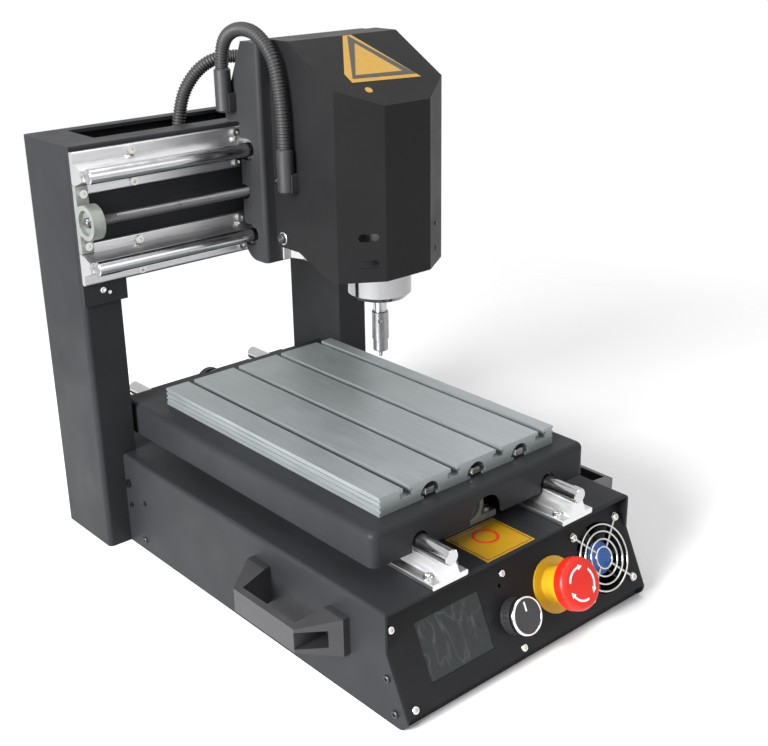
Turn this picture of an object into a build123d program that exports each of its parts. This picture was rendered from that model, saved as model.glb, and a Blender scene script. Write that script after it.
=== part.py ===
"""Benchtop CNC mill: sheet-steel base, moving T-slot bed, fixed gantry and a hooded spindle head.

Millimetres, +Z up, +Y to the back, -Y is the operator's side. The origin lies on the standing
plane, on the centre plane of the machine, midway along the base. Everything that moves stands
where the machine was left: bed forward, head to the right and above the bed.
"""
from build123d import *
from math import atan2, cos, hypot, sin, tan
import os

os.makedirs("parts", exist_ok=True)

# Base cabinet
BASE_W = 256.0
BASE_L = 475.0
BASE_H = 83.5
SHEET = 2.0
FOLD_R = 3.0
TOE_R = 9.0
CHEEK_DROP = 28.5
PANEL_RUN = 21.0
PANEL_FOOT_Z = 10.5
PANEL_H = 78.0
PANEL_T = 2.0
FLOOR_Z = 0.0
FLOOR_LIP = 8.0
FLOOR_SETBACK = 6.0

# Fasteners
SCREW_SLACK = 0.1
PANEL_SCREW_R = 1.5
PANEL_SCREW_HEAD_R = 2.9
PANEL_SCREW_HEAD = 1.8
RAIL_SCREW_R = 2.0
RAIL_SCREW_HEAD_R = 3.4
RAIL_SCREW_HEAD = 2.6
SCREW_GRIP = 5.0
HANDLE_SCREW_HEAD_R = 4.0
HANDLE_SCREW_HEAD = 2.4

# Things on the control panel, across the machine and up the panel
SCREEN_INSET = 60.1
SCREEN_U = 36.5
SCREEN_W = 61.6
SCREEN_H = 43.2
SCREEN_RIM = 4.0
SCREEN_T = 5.0
GLASS_SETBACK = 0.5
KNOB_X = -11.0
KNOB_U = 29.0
KNOB_R = 14.2
KNOB_H = 14.0
KNOB_FLUTES = 24
KNOB_SPIGOT_R = 3.0
POT_R = 8.5
POT_T = 11.0
POT_BUSH_R = 4.5
POT_BUSH_H = 3.0
KNOB_GAP = 0.6
KNOB_SPIGOT_L = 9.0
ESTOP_X = 35.5
ESTOP_U = 35.5
ESTOP_PLATE_R = 21.5
ESTOP_PLATE_T = 1.5
ESTOP_HOLE_R = 11.0
ESTOP_COLLAR_R = 14.5
ESTOP_COLLAR_H = 13.0
ESTOP_HEAD_R = 20.0
ESTOP_HEAD_H = 9.5
ESTOP_STEM_R = 6.0
ESTOP_TRAVEL = 5.0
ESTOP_GAP = 0.5
ESTOP_STEM_L = 16.0
ESTOP_BLOCK = 26.0
ESTOP_BLOCK_T = 26.0
FAN_INSET = 36.0
FAN_U = 36.0
FAN_SIZE = 60.0
FAN_T = 15.0
FAN_PITCH = 50.0
FAN_BORE_R = 28.0
FAN_HUB_R = 13.0
FAN_HUB_FRONT = 1.5
FAN_HUB_H = 9.0
FAN_PIN_R = 1.5
FAN_STAY_T = 3.0
FAN_STAY_W = 4.0
FAN_TIP_GAP = 0.7
FAN_PITCH_ANGLE = 35.0
BLADE_T = 1.2
BLADE_CHORD = 9.0
FAN_BLADES = 7
GUARD_WIRE_R = 0.8
GUARD_RINGS = (8.5, 14.5, 20.5, 26.0)
GUARD_EYE_R = 3.4
LAMP_X = -16.0
LAMP_U = 54.0
LAMP_R = 1.5
PANEL_SCREW_INSET = 9.0
PANEL_SCREW_ROWS = (61.5, 4.5)

# Carrying handles
HANDLE_LEFT_AT = (-122.5, 50.0)
HANDLE_RIGHT_AT = (-139.0, 62.0)
HANDLE_L = 113.0
HANDLE_OUT = 33.0
HANDLE_GRIP_L = 72.0
HANDLE_GRIP_T = 5.0
HANDLE_GRIP_W = 19.0
HANDLE_FOOT_T = 5.6
HANDLE_FOOT_L = 21.0
HANDLE_FOOT_W = 30.0
HANDLE_POCKET_L = 14.5
HANDLE_POCKET_W = 13.5
HANDLE_POCKET_FLOOR = 4.5
HANDLE_SCREWS = 86.0

# Round rails on aluminium supports, and their bearing blocks
SHAFT_R = 6.0
SHAFT_Z = 20.46
RAIL_W = 34.0
RAIL_FOOT = 4.5
RAIL_EDGE_R = 1.2
WEB_FOOT_W = 18.0
WEB_TOP_W = 9.0
WEB_TOP_Z = 16.0
RAIL_SCREW_GAUGE = 25.0
RAIL_SCREW_PITCH = 100.0
BLOCK_W = 40.0
BLOCK_L = 39.0
BLOCK_TOP = 17.0
BLOCK_BELOW = 8.0
RUN_FIT = 0.05

# Lead screws, flange bearings and stepping motors
LEAD_R = 4.0
BEARING_CENTRE = 15.0
BEARING_L = 55.0
BEARING_T = 10.5
BEARING_FOOT = 5.0
BEARING_RING_R = 14.0
BEARING_RACE_R = 10.0
BEARING_RACE_SINK = 3.5
BEARING_GAUGE = 42.0
MOTOR_W = 42.3
MOTOR_L = 40.0
MOTOR_CORNER = 5.0
MOTOR_PILOT_R = 11.0
MOTOR_PILOT_H = 2.0
MOTOR_SCREWS = 31.0
MOTOR_BRACKET_T = 3.0
MOTOR_SCREW_END = 20.0
MOTOR_SHAFT_R = 2.5
MOTOR_BRACKET_W = 50.0

# Long axis: rails on the base, table and T-slot bed
Y_RAIL_X = 67.0
Y_RAIL_FRONT = -216.0
Y_RAIL_L = 420.0
SHAFT_END = 1.5
Y_BEARING_Y = -163.0
Y_REAR_BEARING_Y = 168.0
Y_MOTOR_Z = 40.0
PULLEY_R = 12.0
PULLEY_W = 9.0
PULLEY_GAP = 2.5
BELT_W = 6.0
BELT_T = 1.5
BELT_GAP = 0.3
BELT_ROOM = 2.0
BRACKET_GAP = 1.0
BRACKET_FOOT = 30.0
TABLE_W = 220.8
TABLE_FRONT = -185.0
TABLE_L = 332.0
TABLE_T = 3.0
TABLE_SKIRT_Z = 97.0
TABLE_EDGE_R = 5.0
TABLE_CORNER_R = 7.0
TABLE_BLOCK_PITCH = 120.0
SKIRT_GAP = 1.6
SCREW_ARCH_R = 17.0
BED_W = 180.0
BED_L = 276.0
BED_T = 15.0
BED_FRONT = -168.5
BED_SLOTS = 4
BED_SLOT_PITCH = 47.0
BED_SLOT_SHIFT = 5.5
BED_SLOT_W = 6.0
BED_SLOT_LIP = 2.9
BED_TEE_W = 12.0
BED_TEE_H = 4.6
BED_ARCH_R = 9.5
BED_ARCH_MOUTH = 13.0
BED_ARCH_LIP = 2.0
BED_GROOVE = 2.0
BOLT_R = 3.0
BOLT_HEAD_R = 7.6
BOLT_HEAD_H = 5.0
BOLT_NUT_H = 4.0
BOLT_INSET = 7.0

# Gantry
GANTRY_Y = 124.5
GANTRY_D = 75.0
GANTRY_H = 350.5
COLUMN_OUT = 21.0
COLUMN_IN = 13.0
COLUMN_WALL = 2.5
COLUMN_R = 4.0
BEAM_BOTTOM = 238.0
BEAM_TAB_Z = 221.0
BEAM_TAB_IN = 18.0
BEAM_SHEET = 3.0
BEAM_FRONT_LIP = 18.0
BEAM_REAR_LIP = 12.0
BEAM_FOLD_R = 2.0
X_RAIL_LOW_Z = 257.0
X_RAIL_HIGH_Z = 330.0
X_SHAFT_END = 3.0

# Cross carriage and the upright rails on it
HEAD_X = 67.4
CARRIAGE_W = 129.0
CARRIAGE_SHEET = 3.0
CARRIAGE_Z = 235.0
CARRIAGE_RISE = 66.0
CARRIAGE_REAR = 111.0
CARRIAGE_CROWN_REAR = 130.0
CARRIAGE_CROWN_GAP = 1.5
CARRIAGE_EDGE_R = 4.0
CARRIAGE_CROWN_STEP = 10.0
CARRIAGE_TOP_REAR = 103.0
CARRIAGE_TOE_R = 16.0
CARRIAGE_NOTCH = 9.0
X_BLOCK_PITCH = 80.0
Z_RAIL_PITCH = 66.0
Z_RAIL_BOTTOM = 237.0
Z_RAIL_L = 148.0
Z_BLOCK_PITCH = 44.0
Z_BLOCK_MID = 298.0
NUT_W = 24.0
NUT_T = 26.0
Z_NUT_Z = 316.0
Z_NUT_T = 12.0
Z_NUT_W = 22.0

# Head: slide plate, motor, spindle and hood
SLIDE_T = 5.0
SLIDE_CHEEK_T = 2.0
SLIDE_BOTTOM = 252.0
SLIDE_CHEEK_TOP = 345.0
SLIDE_REAR = 74.0
SHELF_Z = 366.0
SHELF_T = 4.0
Z_SCREW_Y = 58.5
Z_SCREW_BOTTOM = 258.0
Z_MOTOR_W = 35.0
SHELF_W = 32.0
Z_MOTOR_L = 34.0
SPINDLE_Y = 9.5
SPINDLE_R = 26.0
SPINDLE_TOP = 353.0
SPINDLE_SHOULDER = 232.0
CAP_R = 27.0
CAP_BOTTOM = 210.0
CAP_BEVEL = 4.0
CLAMP_W = 68.0
CLAMP_BOTTOM = 258.0
CLAMP_TOP = 300.0
CLAMP_NOSE = 5.5
CLAMP_SLIT = 2.0
ROTOR_R = 5.75
ROTOR_TOP = 330.0
HOLDER_R = 7.2
HOLDER_NOSE_R = 6.4
HOLDER_TOP = 196.0
HOLDER_STEP = 171.0
HOLDER_BOTTOM = 160.0
GRUB_HOLE_R = 1.6
GRUB_HOLE_Z = 188.0
GRUB_HOLE_FLOOR = 4.5
CUTTER_R = 1.6
CUTTER_SOCKET = 12.0
CUTTER_TIP = 154.0
HOOD_W = 114.4
HOOD_WALL = 1.6
HOOD_REAR = 74.7
HOOD_FRONT = -28.0
HOOD_FRONT_W = 48.0
HOOD_SIDE_FRONT = -6.2
HOOD_TOP = 421.0
HOOD_BROW_Y = 49.5
HOOD_BROW_Z = 376.0
HOOD_BOTTOM = 235.0
HOOD_HEEL_Z = 251.0
HOOD_HEEL_Y = 44.8
HOOD_TOE_Y = 5.0
HOOD_EDGE_R = 2.5
VENT_L = 17.0
VENT_SHIFT = 5.4
VENT_H = 6.5
VENT_ZS = (250.0, 272.0)
HOOD_SCREWS = ((66.0, 259.0), (70.0, 308.0))

# Hoses: outer radius, their elbows and their routes
HOSE_R = 5.8
ELBOW_R = 7.0
ELBOW_H = 36.0
ELBOW_NUT = 16.0
ELBOW_REACH = 9.0
HEAD_ELBOW_Y = 49.0
HEAD_ELBOW_Z = 302.0
CARRIAGE_ELBOW_Y = 121.0
CARRIAGE_ELBOW_RISE = 8.0
BEAM_GLAND_X = -24.0
BEAM_GLAND_Y = 172.0
CARRIAGE_GLAND_X = 46.0
CARRIAGE_GLAND_RISE = 48.0
GLAND_R = 8.5
GLAND_H = 9.0

# Electrics inside the base
BOARD = (100.0, 90.0, 1.6)
BOARD_GAP = 3.0
BOARD_Y = 60.0
SUPPLY = (95.0, 150.0, 45.0)
SUPPLY_GAP = 16.0
SUPPLY_Y = 60.0
INLET = (48.0, 27.0)
INLET_INSET = 58.0
INLET_Z = 38.0

# Worked out from the sizes above
FRONT_Y = -BASE_L / 2
REAR_Y = BASE_L / 2
LIP_Y = FRONT_Y + PANEL_RUN
CHEEK_Z = BASE_H - CHEEK_DROP
PANEL_TILT = atan2(PANEL_RUN, CHEEK_Z - PANEL_FOOT_Z)
PANEL = Plane(origin=(0, FRONT_Y, PANEL_FOOT_Z), x_dir=(1, 0, 0),
              z_dir=(0, -cos(PANEL_TILT), sin(PANEL_TILT)))
FLOOR_TOP = FLOOR_Z + SHEET
SCREW_HOLE_R = RAIL_SCREW_R + SCREW_SLACK
INSIDE_W = BASE_W - 2 * SHEET
SCREEN_X = SCREEN_INSET - BASE_W / 2
FAN_X = BASE_W / 2 - FAN_INSET
PANEL_SCREWS = [(x, u) for x in (PANEL_SCREW_INSET - BASE_W / 2, KNOB_X) for u in PANEL_SCREW_ROWS]
HANDLES_AT = {-1: HANDLE_LEFT_AT, 1: HANDLE_RIGHT_AT}
BOARD_AT = (BOARD_GAP + (BOARD[0] - INSIDE_W) / 2, BOARD_Y)
SUPPLY_AT = ((INSIDE_W - SUPPLY[0]) / 2 - SUPPLY_GAP, SUPPLY_Y)
INLET_AT = (BASE_W / 2 - INLET_INSET, INLET_Z)
Y_SHAFT_Z = BASE_H + SHAFT_Z
Y_SCREW_Z = BASE_H + BEARING_CENTRE
PULLEY_Y = Y_REAR_BEARING_Y + BEARING_T / 2 + PULLEY_GAP
Y_BRACKET_Y = PULLEY_Y + PULLEY_W + BRACKET_GAP
Y_MOTOR_Y = Y_BRACKET_Y + MOTOR_BRACKET_T
BELT_IN_R = PULLEY_R + BELT_GAP
BELT_OUT_R = BELT_IN_R + BELT_T
TABLE_UNDER = Y_SHAFT_Z + BLOCK_TOP
TABLE_TOP = TABLE_UNDER + TABLE_T
TABLE_MID = TABLE_FRONT + TABLE_L / 2
BED_TOP = TABLE_TOP + BED_T
GANTRY_W = BASE_W + 2 * COLUMN_OUT
RAIL_FACE_Y = GANTRY_Y - BEAM_SHEET
X_SHAFT_Y = RAIL_FACE_Y - SHAFT_Z
X_SCREW_Y = RAIL_FACE_Y - BEARING_CENTRE
X_SCREW_Z = (X_RAIL_LOW_Z + X_RAIL_HIGH_Z) / 2
CARRIAGE_CROWN_Z = GANTRY_H + CARRIAGE_CROWN_GAP
CARRIAGE_TOP = CARRIAGE_CROWN_Z + CARRIAGE_RISE
CARRIAGE_ELBOW_Z = CARRIAGE_CROWN_Z + CARRIAGE_ELBOW_RISE
CARRIAGE_GLAND_Z = CARRIAGE_CROWN_Z + CARRIAGE_GLAND_RISE
CARRIAGE_BACK = X_SHAFT_Y - BLOCK_TOP
CARRIAGE_FACE = CARRIAGE_BACK - CARRIAGE_SHEET
Z_SHAFT_Y = CARRIAGE_FACE - SHAFT_Z
SLIDE_BACK = Z_SHAFT_Y - BLOCK_TOP
SLIDE_FACE = SLIDE_BACK - SLIDE_T
BED_SLOT_XS = [BED_SLOT_SHIFT + (i - (BED_SLOTS - 1) / 2) * BED_SLOT_PITCH for i in range(BED_SLOTS)]
BED_ARCH_XS = [x + BED_SLOT_PITCH / 2 for x in BED_SLOT_XS[:-1]]


# Shapes that several pieces share

def rail_section():
    """Cross-section of a rail support: flat foot, flared web and the saddle that holds the shaft."""
    with BuildSketch() as section:
        with BuildLine():
            Polyline(
                (-RAIL_W / 2, 0), (RAIL_W / 2, 0), (RAIL_W / 2, RAIL_FOOT), (WEB_FOOT_W / 2, RAIL_FOOT),
                (WEB_TOP_W / 2, WEB_TOP_Z), (-WEB_TOP_W / 2, WEB_TOP_Z), (-WEB_FOOT_W / 2, RAIL_FOOT),
                (-RAIL_W / 2, RAIL_FOOT), close=True,
            )
        make_face()
        fillet(section.vertices().group_by(Axis.X)[0] + section.vertices().group_by(Axis.X)[-1], RAIL_EDGE_R)
        with Locations((0, SHAFT_Z)):
            Circle(SHAFT_R, mode=Mode.SUBTRACT)
    return section.sketch


def block_section():
    """Cross-section of an open bearing block that runs on the shaft and straddles the web."""
    with BuildSketch() as section:
        with Locations((0, SHAFT_Z + (BLOCK_TOP - BLOCK_BELOW) / 2)):
            RectangleRounded(BLOCK_W, BLOCK_TOP + BLOCK_BELOW, 1.5)
        with Locations((0, SHAFT_Z)):
            Circle(SHAFT_R + RUN_FIT, mode=Mode.SUBTRACT)
        with BuildLine():
            Polyline((-5.2, SHAFT_Z - 3), (5.2, SHAFT_Z - 3), (7.4, SHAFT_Z - 9), (-7.4, SHAFT_Z - 9),
                     close=True)
        make_face(mode=Mode.SUBTRACT)
    return section.sketch


def rail_support(foot, length, screws):
    """Support of one rail, from a foot plane whose normal runs along the rail, drilled for its screws."""
    with BuildPart() as support:
        with BuildSketch(foot):
            add(rail_section())
        extrude(amount=length)
        flat = Plane(origin=foot.origin, x_dir=foot.x_dir, z_dir=foot.y_dir)
        with BuildSketch(flat.offset(RAIL_FOOT)):
            with Locations(*screws):
                Circle(RAIL_SCREW_R + SCREW_SLACK)
        extrude(amount=-RAIL_FOOT - 1, mode=Mode.SUBTRACT)
    return support.part


def rail_screw_points(length, first):
    """Places of the rail screws, in pairs across the foot and a fixed pitch apart."""
    count = int((length - first) // RAIL_SCREW_PITCH) + 1
    rows = [-(first + i * RAIL_SCREW_PITCH) for i in range(count)]
    return [(side * RAIL_SCREW_GAUGE / 2, row) for row in rows for side in (-1, 1)]


def flat_of(foot):
    """Mounting face of a rail, with its X across the rail and its Z away from the face."""
    return Plane(origin=foot.origin, x_dir=foot.x_dir, z_dir=foot.y_dir)


def bearing_block(foot, start):
    """One open bearing block, from the rail's foot plane and the distance along the rail."""
    with BuildPart() as block:
        with BuildSketch(foot.offset(start)):
            add(block_section())
        extrude(amount=BLOCK_L)
    return block.part


def round_bar(end, radius, length, bevel=0.6):
    """A turned bar with a small bevel at both ends."""
    with BuildPart() as bar:
        with BuildSketch(end):
            Circle(radius)
        extrude(amount=length)
        chamfer(bar.edges().filter_by(GeomType.CIRCLE), bevel)
    return bar.part


def cross_screws(plane, points, head_r, head_h, shank_r, shank_l):
    """Pan-head screws with a cross recess, standing on a face, one solid at each point."""
    with BuildPart() as screws:
        with BuildSketch(plane):
            with Locations(*points):
                Circle(head_r)
        extrude(amount=head_h)
        crowns = screws.edges().group_by(lambda e: round(plane.to_local_coords(e.center()).Z, 3))[-1]
        fillet(crowns, head_h * 0.6)
        with BuildSketch(plane.offset(head_h)):
            with Locations(*points):
                Rectangle(head_r * 1.1, head_r * 0.28)
                Rectangle(head_r * 0.28, head_r * 1.1)
        extrude(amount=-head_h * 0.55, mode=Mode.SUBTRACT)
        with BuildSketch(plane):
            with Locations(*points):
                Circle(shank_r)
        extrude(amount=-shank_l)
    return screws.part


def socket_screws(plane, points, head_r, head_h, shank_r, shank_l):
    """Cap screws with a hexagon socket, standing on a face, one solid at each point."""
    with BuildPart() as screws:
        with BuildSketch(plane):
            with Locations(*points):
                Circle(head_r)
        extrude(amount=head_h)
        with BuildSketch(plane.offset(head_h)):
            with Locations(*points):
                RegularPolygon(head_r * 0.55, 6)
        extrude(amount=-head_h * 0.6, mode=Mode.SUBTRACT)
        with BuildSketch(plane):
            with Locations(*points):
                Circle(shank_r)
        extrude(amount=-shank_l)
    return screws.part


def pillow_block(foot):
    """Cast bearing stand: foot with two bolt holes and a ring that holds the screw's journal.

    The plane has its X along the foot, its Y away from the face it stands on, and its Z along
    the screw.
    """
    with BuildPart() as stand:
        with BuildSketch(foot):
            with Locations((0, BEARING_FOOT / 2)):
                RectangleRounded(BEARING_L, BEARING_FOOT, 1.0)
            with Locations((0, BEARING_CENTRE / 2)):
                Rectangle(BEARING_RING_R * 1.7, BEARING_CENTRE)
            with Locations((0, BEARING_CENTRE)):
                Circle(BEARING_RING_R)
        extrude(amount=BEARING_T / 2, both=True)
        with BuildSketch(foot):
            with Locations((0, BEARING_CENTRE)):
                Circle(LEAD_R + RUN_FIT)
        extrude(amount=BEARING_T, both=True, mode=Mode.SUBTRACT)
        for side in (-1, 1):
            with BuildSketch(foot.offset(side * BEARING_T / 2)):
                with Locations((0, BEARING_CENTRE)):
                    Circle(BEARING_RACE_R)
            extrude(amount=-side * BEARING_RACE_SINK, mode=Mode.SUBTRACT)
        holes = Plane(origin=foot.origin, x_dir=foot.x_dir, z_dir=foot.y_dir)
        with BuildSketch(holes):
            with Locations((-BEARING_GAUGE / 2, 0), (BEARING_GAUGE / 2, 0)):
                Circle(RAIL_SCREW_R + SCREW_SLACK)
        extrude(amount=BEARING_FOOT * 2, mode=Mode.SUBTRACT)
    return stand.part


def stepping_motor(face, width, length):
    """Square stepping motor behind a mounting face, bored for the screw that turns in it."""
    with BuildPart() as motor:
        with BuildSketch(face) as outline:
            Rectangle(width, width)
            chamfer(outline.vertices(), MOTOR_CORNER)
        extrude(amount=length)
        with BuildSketch(face):
            Circle(MOTOR_PILOT_R)
        extrude(amount=-MOTOR_PILOT_H)
        with BuildSketch(face.offset(-MOTOR_PILOT_H)):
            Circle(LEAD_R + RUN_FIT)
        extrude(amount=MOTOR_PILOT_H + MOTOR_SCREW_END, mode=Mode.SUBTRACT)
    return motor.part


def elbow(base, side):
    """Upright hose socket with a square nut at its foot that bears on the housing beside it."""
    with BuildPart() as fitting:
        with BuildSketch(base):
            Circle(ELBOW_R)
        extrude(amount=ELBOW_H)
        chamfer(fitting.edges().filter_by(GeomType.CIRCLE), 1.5)
        flank = Plane(origin=base.origin + Vector(0, 0, ELBOW_R + 1), x_dir=(0, 1, 0), z_dir=(side, 0, 0))
        with BuildSketch(flank):
            RectangleRounded(ELBOW_NUT, ELBOW_NUT, 2.0)
        extrude(amount=ELBOW_REACH)
    return fitting.part


def station(y):
    """Upright plane across the machine at a given Y, facing the operator, with Z up."""
    return Plane(origin=(0, y, 0), x_dir=(1, 0, 0), z_dir=(0, -1, 0))


def flank(x):
    """Upright plane along the machine at a given X, with Y across and Z up."""
    return Plane(origin=(x, 0, 0), x_dir=(0, 1, 0), z_dir=(1, 0, 0))


def outer_side(side, x):
    """Upright plane on the outside of a side wall, facing outward; its X runs along side * Y."""
    return Plane(origin=(side * x, 0, 0), x_dir=(0, side, 0), z_dir=(side, 0, 0))


def handle_screw_points(side):
    """Places of one handle's two screws on the outside of its side wall."""
    y, z = HANDLES_AT[side]
    return [(side * (y + e * HANDLE_SCREWS / 2), z) for e in (-1, 1)]


# Mounting planes of the rails, screws and motors
Y_FEET = [Plane(origin=(s * Y_RAIL_X, Y_RAIL_FRONT + Y_RAIL_L, BASE_H), x_dir=(1, 0, 0), z_dir=(0, -1, 0))
          for s in (-1, 1)]
X_FEET = [Plane(origin=(-GANTRY_W / 2, RAIL_FACE_Y, z), x_dir=(0, 0, 1), z_dir=(1, 0, 0))
          for z in (X_RAIL_LOW_Z, X_RAIL_HIGH_Z)]
Z_FEET = [Plane(origin=(HEAD_X + s * Z_RAIL_PITCH / 2, CARRIAGE_FACE, Z_RAIL_BOTTOM + Z_RAIL_L),
                x_dir=(1, 0, 0), z_dir=(0, 0, -1)) for s in (-1, 1)]
Y_SCREW_POINTS = rail_screw_points(Y_RAIL_L, 10)
X_SCREW_POINTS = rail_screw_points(GANTRY_W, 51)
Z_SCREW_POINTS = rail_screw_points(Z_RAIL_L, 24)
Y_STANDS = [Plane(origin=(0, y, BASE_H), x_dir=(1, 0, 0), z_dir=(0, -1, 0))
            for y in (Y_BEARING_Y, Y_REAR_BEARING_Y)]
X_STAND = Plane(origin=(-GANTRY_W / 2 + BEARING_T / 2, RAIL_FACE_Y, X_SCREW_Z),
                x_dir=(0, 0, 1), z_dir=(1, 0, 0))
Y_MOTOR_FACE = Plane(origin=(0, Y_MOTOR_Y, Y_MOTOR_Z), x_dir=(1, 0, 0), z_dir=(0, 1, 0))
STAND_BOLTS = [(-BEARING_GAUGE / 2, 0), (BEARING_GAUGE / 2, 0)]
X_BRACKET_X = GANTRY_W / 2
X_MOTOR_X = X_BRACKET_X + MOTOR_BRACKET_T
SLIDE_W = HOOD_W - 2 * HOOD_WALL
Z_MOTOR_BASE = SHELF_Z + SHELF_T
FAN_PLANE = Plane(origin=PANEL.from_local_coords((FAN_X, FAN_U, -PANEL_T)),
                  x_dir=(1, 0, 0), z_dir=PANEL.z_dir)
FAN_CORNERS = [(FAN_X + a * FAN_PITCH / 2, FAN_U + b * FAN_PITCH / 2) for a in (-1, 1) for b in (-1, 1)]
SIDE_CROSS = ((98.5, 10.0), (-218.0, 35.0), (-226.0, 10.5))
SIDE_SMALL = ((116.0, 38.0), (94.0, 47.0))
SIDE_SOCKET = (118.0, 58.0)


# Base cabinet

with BuildPart() as base_shell:
    with BuildSketch(flank(0)):
        with BuildLine():
            Polyline((FRONT_Y, 0), (REAR_Y, 0), (REAR_Y, BASE_H), (LIP_Y, BASE_H), (LIP_Y, CHEEK_Z),
                     (FRONT_Y, PANEL_FOOT_Z), close=True)
        make_face()
    extrude(amount=BASE_W / 2, both=True)
    folds = base_shell.edges().filter_by(Axis.Y).group_by(Axis.Z)[-1]
    folds += base_shell.edges().filter_by(Axis.X).group_by(Axis.Z)[-1].sort_by(Axis.Y)[0:1]
    fillet(folds, FOLD_R)
    fillet(base_shell.edges().filter_by(Axis.X).filter_by_position(Axis.Z, -1, 1).sort_by(Axis.Y)[0], TOE_R)
    with BuildSketch(flank(0)):
        with BuildLine():
            Polyline((FRONT_Y - 1, -1), (REAR_Y - SHEET, -1), (REAR_Y - SHEET, BASE_H - SHEET),
                     (FRONT_Y - 1, BASE_H - SHEET), close=True)
        make_face()
    extrude(amount=INSIDE_W / 2, both=True, mode=Mode.SUBTRACT)
    with BuildSketch(Plane.XY.offset(BASE_H)):
        with Locations((0, PULLEY_Y + PULLEY_W / 2)):
            Rectangle(2 * (BELT_OUT_R + BELT_ROOM), PULLEY_W + BELT_ROOM)
    extrude(amount=-SHEET - 1, mode=Mode.SUBTRACT)
    for foot in Y_FEET:
        with BuildSketch(flat_of(foot)):
            with Locations(*Y_SCREW_POINTS):
                Circle(SCREW_HOLE_R)
        extrude(amount=-SHEET - 1, mode=Mode.SUBTRACT)
    for stand in Y_STANDS:
        with BuildSketch(flat_of(stand)):
            with Locations(*STAND_BOLTS):
                Circle(SCREW_HOLE_R)
        extrude(amount=-SHEET - 1, mode=Mode.SUBTRACT)
    for side in (-1, 1):
        with BuildSketch(outer_side(side, BASE_W / 2)):
            with Locations(*[(side * y, z) for y, z in SIDE_CROSS + SIDE_SMALL + (SIDE_SOCKET,)]):
                Circle(PANEL_SCREW_R + SCREW_SLACK)
            with Locations(*handle_screw_points(side)):
                Circle(SCREW_HOLE_R)
        extrude(amount=-SHEET - 1, mode=Mode.SUBTRACT)
    with BuildSketch(Plane(origin=(0, REAR_Y, 0), x_dir=(-1, 0, 0), z_dir=(0, 1, 0))):
        with Locations((-INLET_AT[0], INLET_AT[1])):
            Rectangle(INLET[0] - 6, INLET[1] - 4)
    extrude(amount=-SHEET - 1, mode=Mode.SUBTRACT)
base_shell.part.label = "base_shell"
export_step(base_shell.part, "parts/base_shell.step")

with BuildPart() as bottom_plate:
    with BuildSketch(Plane.XY.offset(FLOOR_Z)):
        with Locations((0, (FLOOR_SETBACK - SHEET) / 2)):
            Rectangle(INSIDE_W, BASE_L - FLOOR_SETBACK - SHEET)
    extrude(amount=SHEET)
    with BuildSketch(station(FRONT_Y + FLOOR_SETBACK)):
        with Locations((0, FLOOR_LIP / 2)):
            Rectangle(INSIDE_W, FLOOR_LIP)
    extrude(amount=-SHEET)
bottom_plate.part.label = "bottom_plate"
export_step(bottom_plate.part, "parts/bottom_plate.step")

with BuildPart() as front_panel:
    with BuildSketch(PANEL):
        with Locations((0, PANEL_H / 2)):
            Rectangle(INSIDE_W, PANEL_H)
        with Locations((SCREEN_X, SCREEN_U)):
            Rectangle(SCREEN_W, SCREEN_H, mode=Mode.SUBTRACT)
        with Locations((KNOB_X, KNOB_U)):
            Circle(POT_BUSH_R, mode=Mode.SUBTRACT)
        with Locations((ESTOP_X, ESTOP_U)):
            Circle(ESTOP_HOLE_R, mode=Mode.SUBTRACT)
        with Locations((FAN_X, FAN_U)):
            Circle(FAN_BORE_R, mode=Mode.SUBTRACT)
        with Locations((LAMP_X, LAMP_U)):
            Circle(LAMP_R, mode=Mode.SUBTRACT)
        with Locations(*PANEL_SCREWS, *FAN_CORNERS):
            Circle(PANEL_SCREW_R + SCREW_SLACK, mode=Mode.SUBTRACT)
    extrude(amount=-PANEL_T)
front_panel.part.label = "front_panel"
export_step(front_panel.part, "parts/front_panel.step")

with BuildPart() as display_screen:
    with BuildSketch(PANEL.offset(-PANEL_T)):
        with Locations((SCREEN_X, SCREEN_U)):
            Rectangle(SCREEN_W + 2 * SCREEN_RIM, SCREEN_H + 2 * SCREEN_RIM)
    extrude(amount=-SCREEN_T)
    with BuildSketch(PANEL.offset(-PANEL_T)):
        with Locations((SCREEN_X, SCREEN_U)):
            Rectangle(SCREEN_W - 2 * SCREW_SLACK, SCREEN_H - 2 * SCREW_SLACK)
    extrude(amount=PANEL_T - GLASS_SETBACK)
display_screen.part.label = "display_screen"
export_step(display_screen.part, "parts/display_screen.step")

with BuildPart() as speed_control:
    with BuildSketch(PANEL.offset(-PANEL_T)):
        with Locations((KNOB_X, KNOB_U)):
            Circle(POT_R)
    extrude(amount=-POT_T)
    with BuildSketch(PANEL.offset(-PANEL_T)):
        with Locations((KNOB_X, KNOB_U)):
            Circle(POT_BUSH_R)
    extrude(amount=PANEL_T + POT_BUSH_H)
    with BuildSketch(PANEL.offset(POT_BUSH_H)):
        with Locations((KNOB_X, KNOB_U)):
            Circle(KNOB_SPIGOT_R + RUN_FIT)
    extrude(amount=-POT_BUSH_H - PANEL_T - POT_T + 2, mode=Mode.SUBTRACT)
speed_control.part.label = "speed_control"
export_step(speed_control.part, "parts/speed_control.step")

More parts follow.
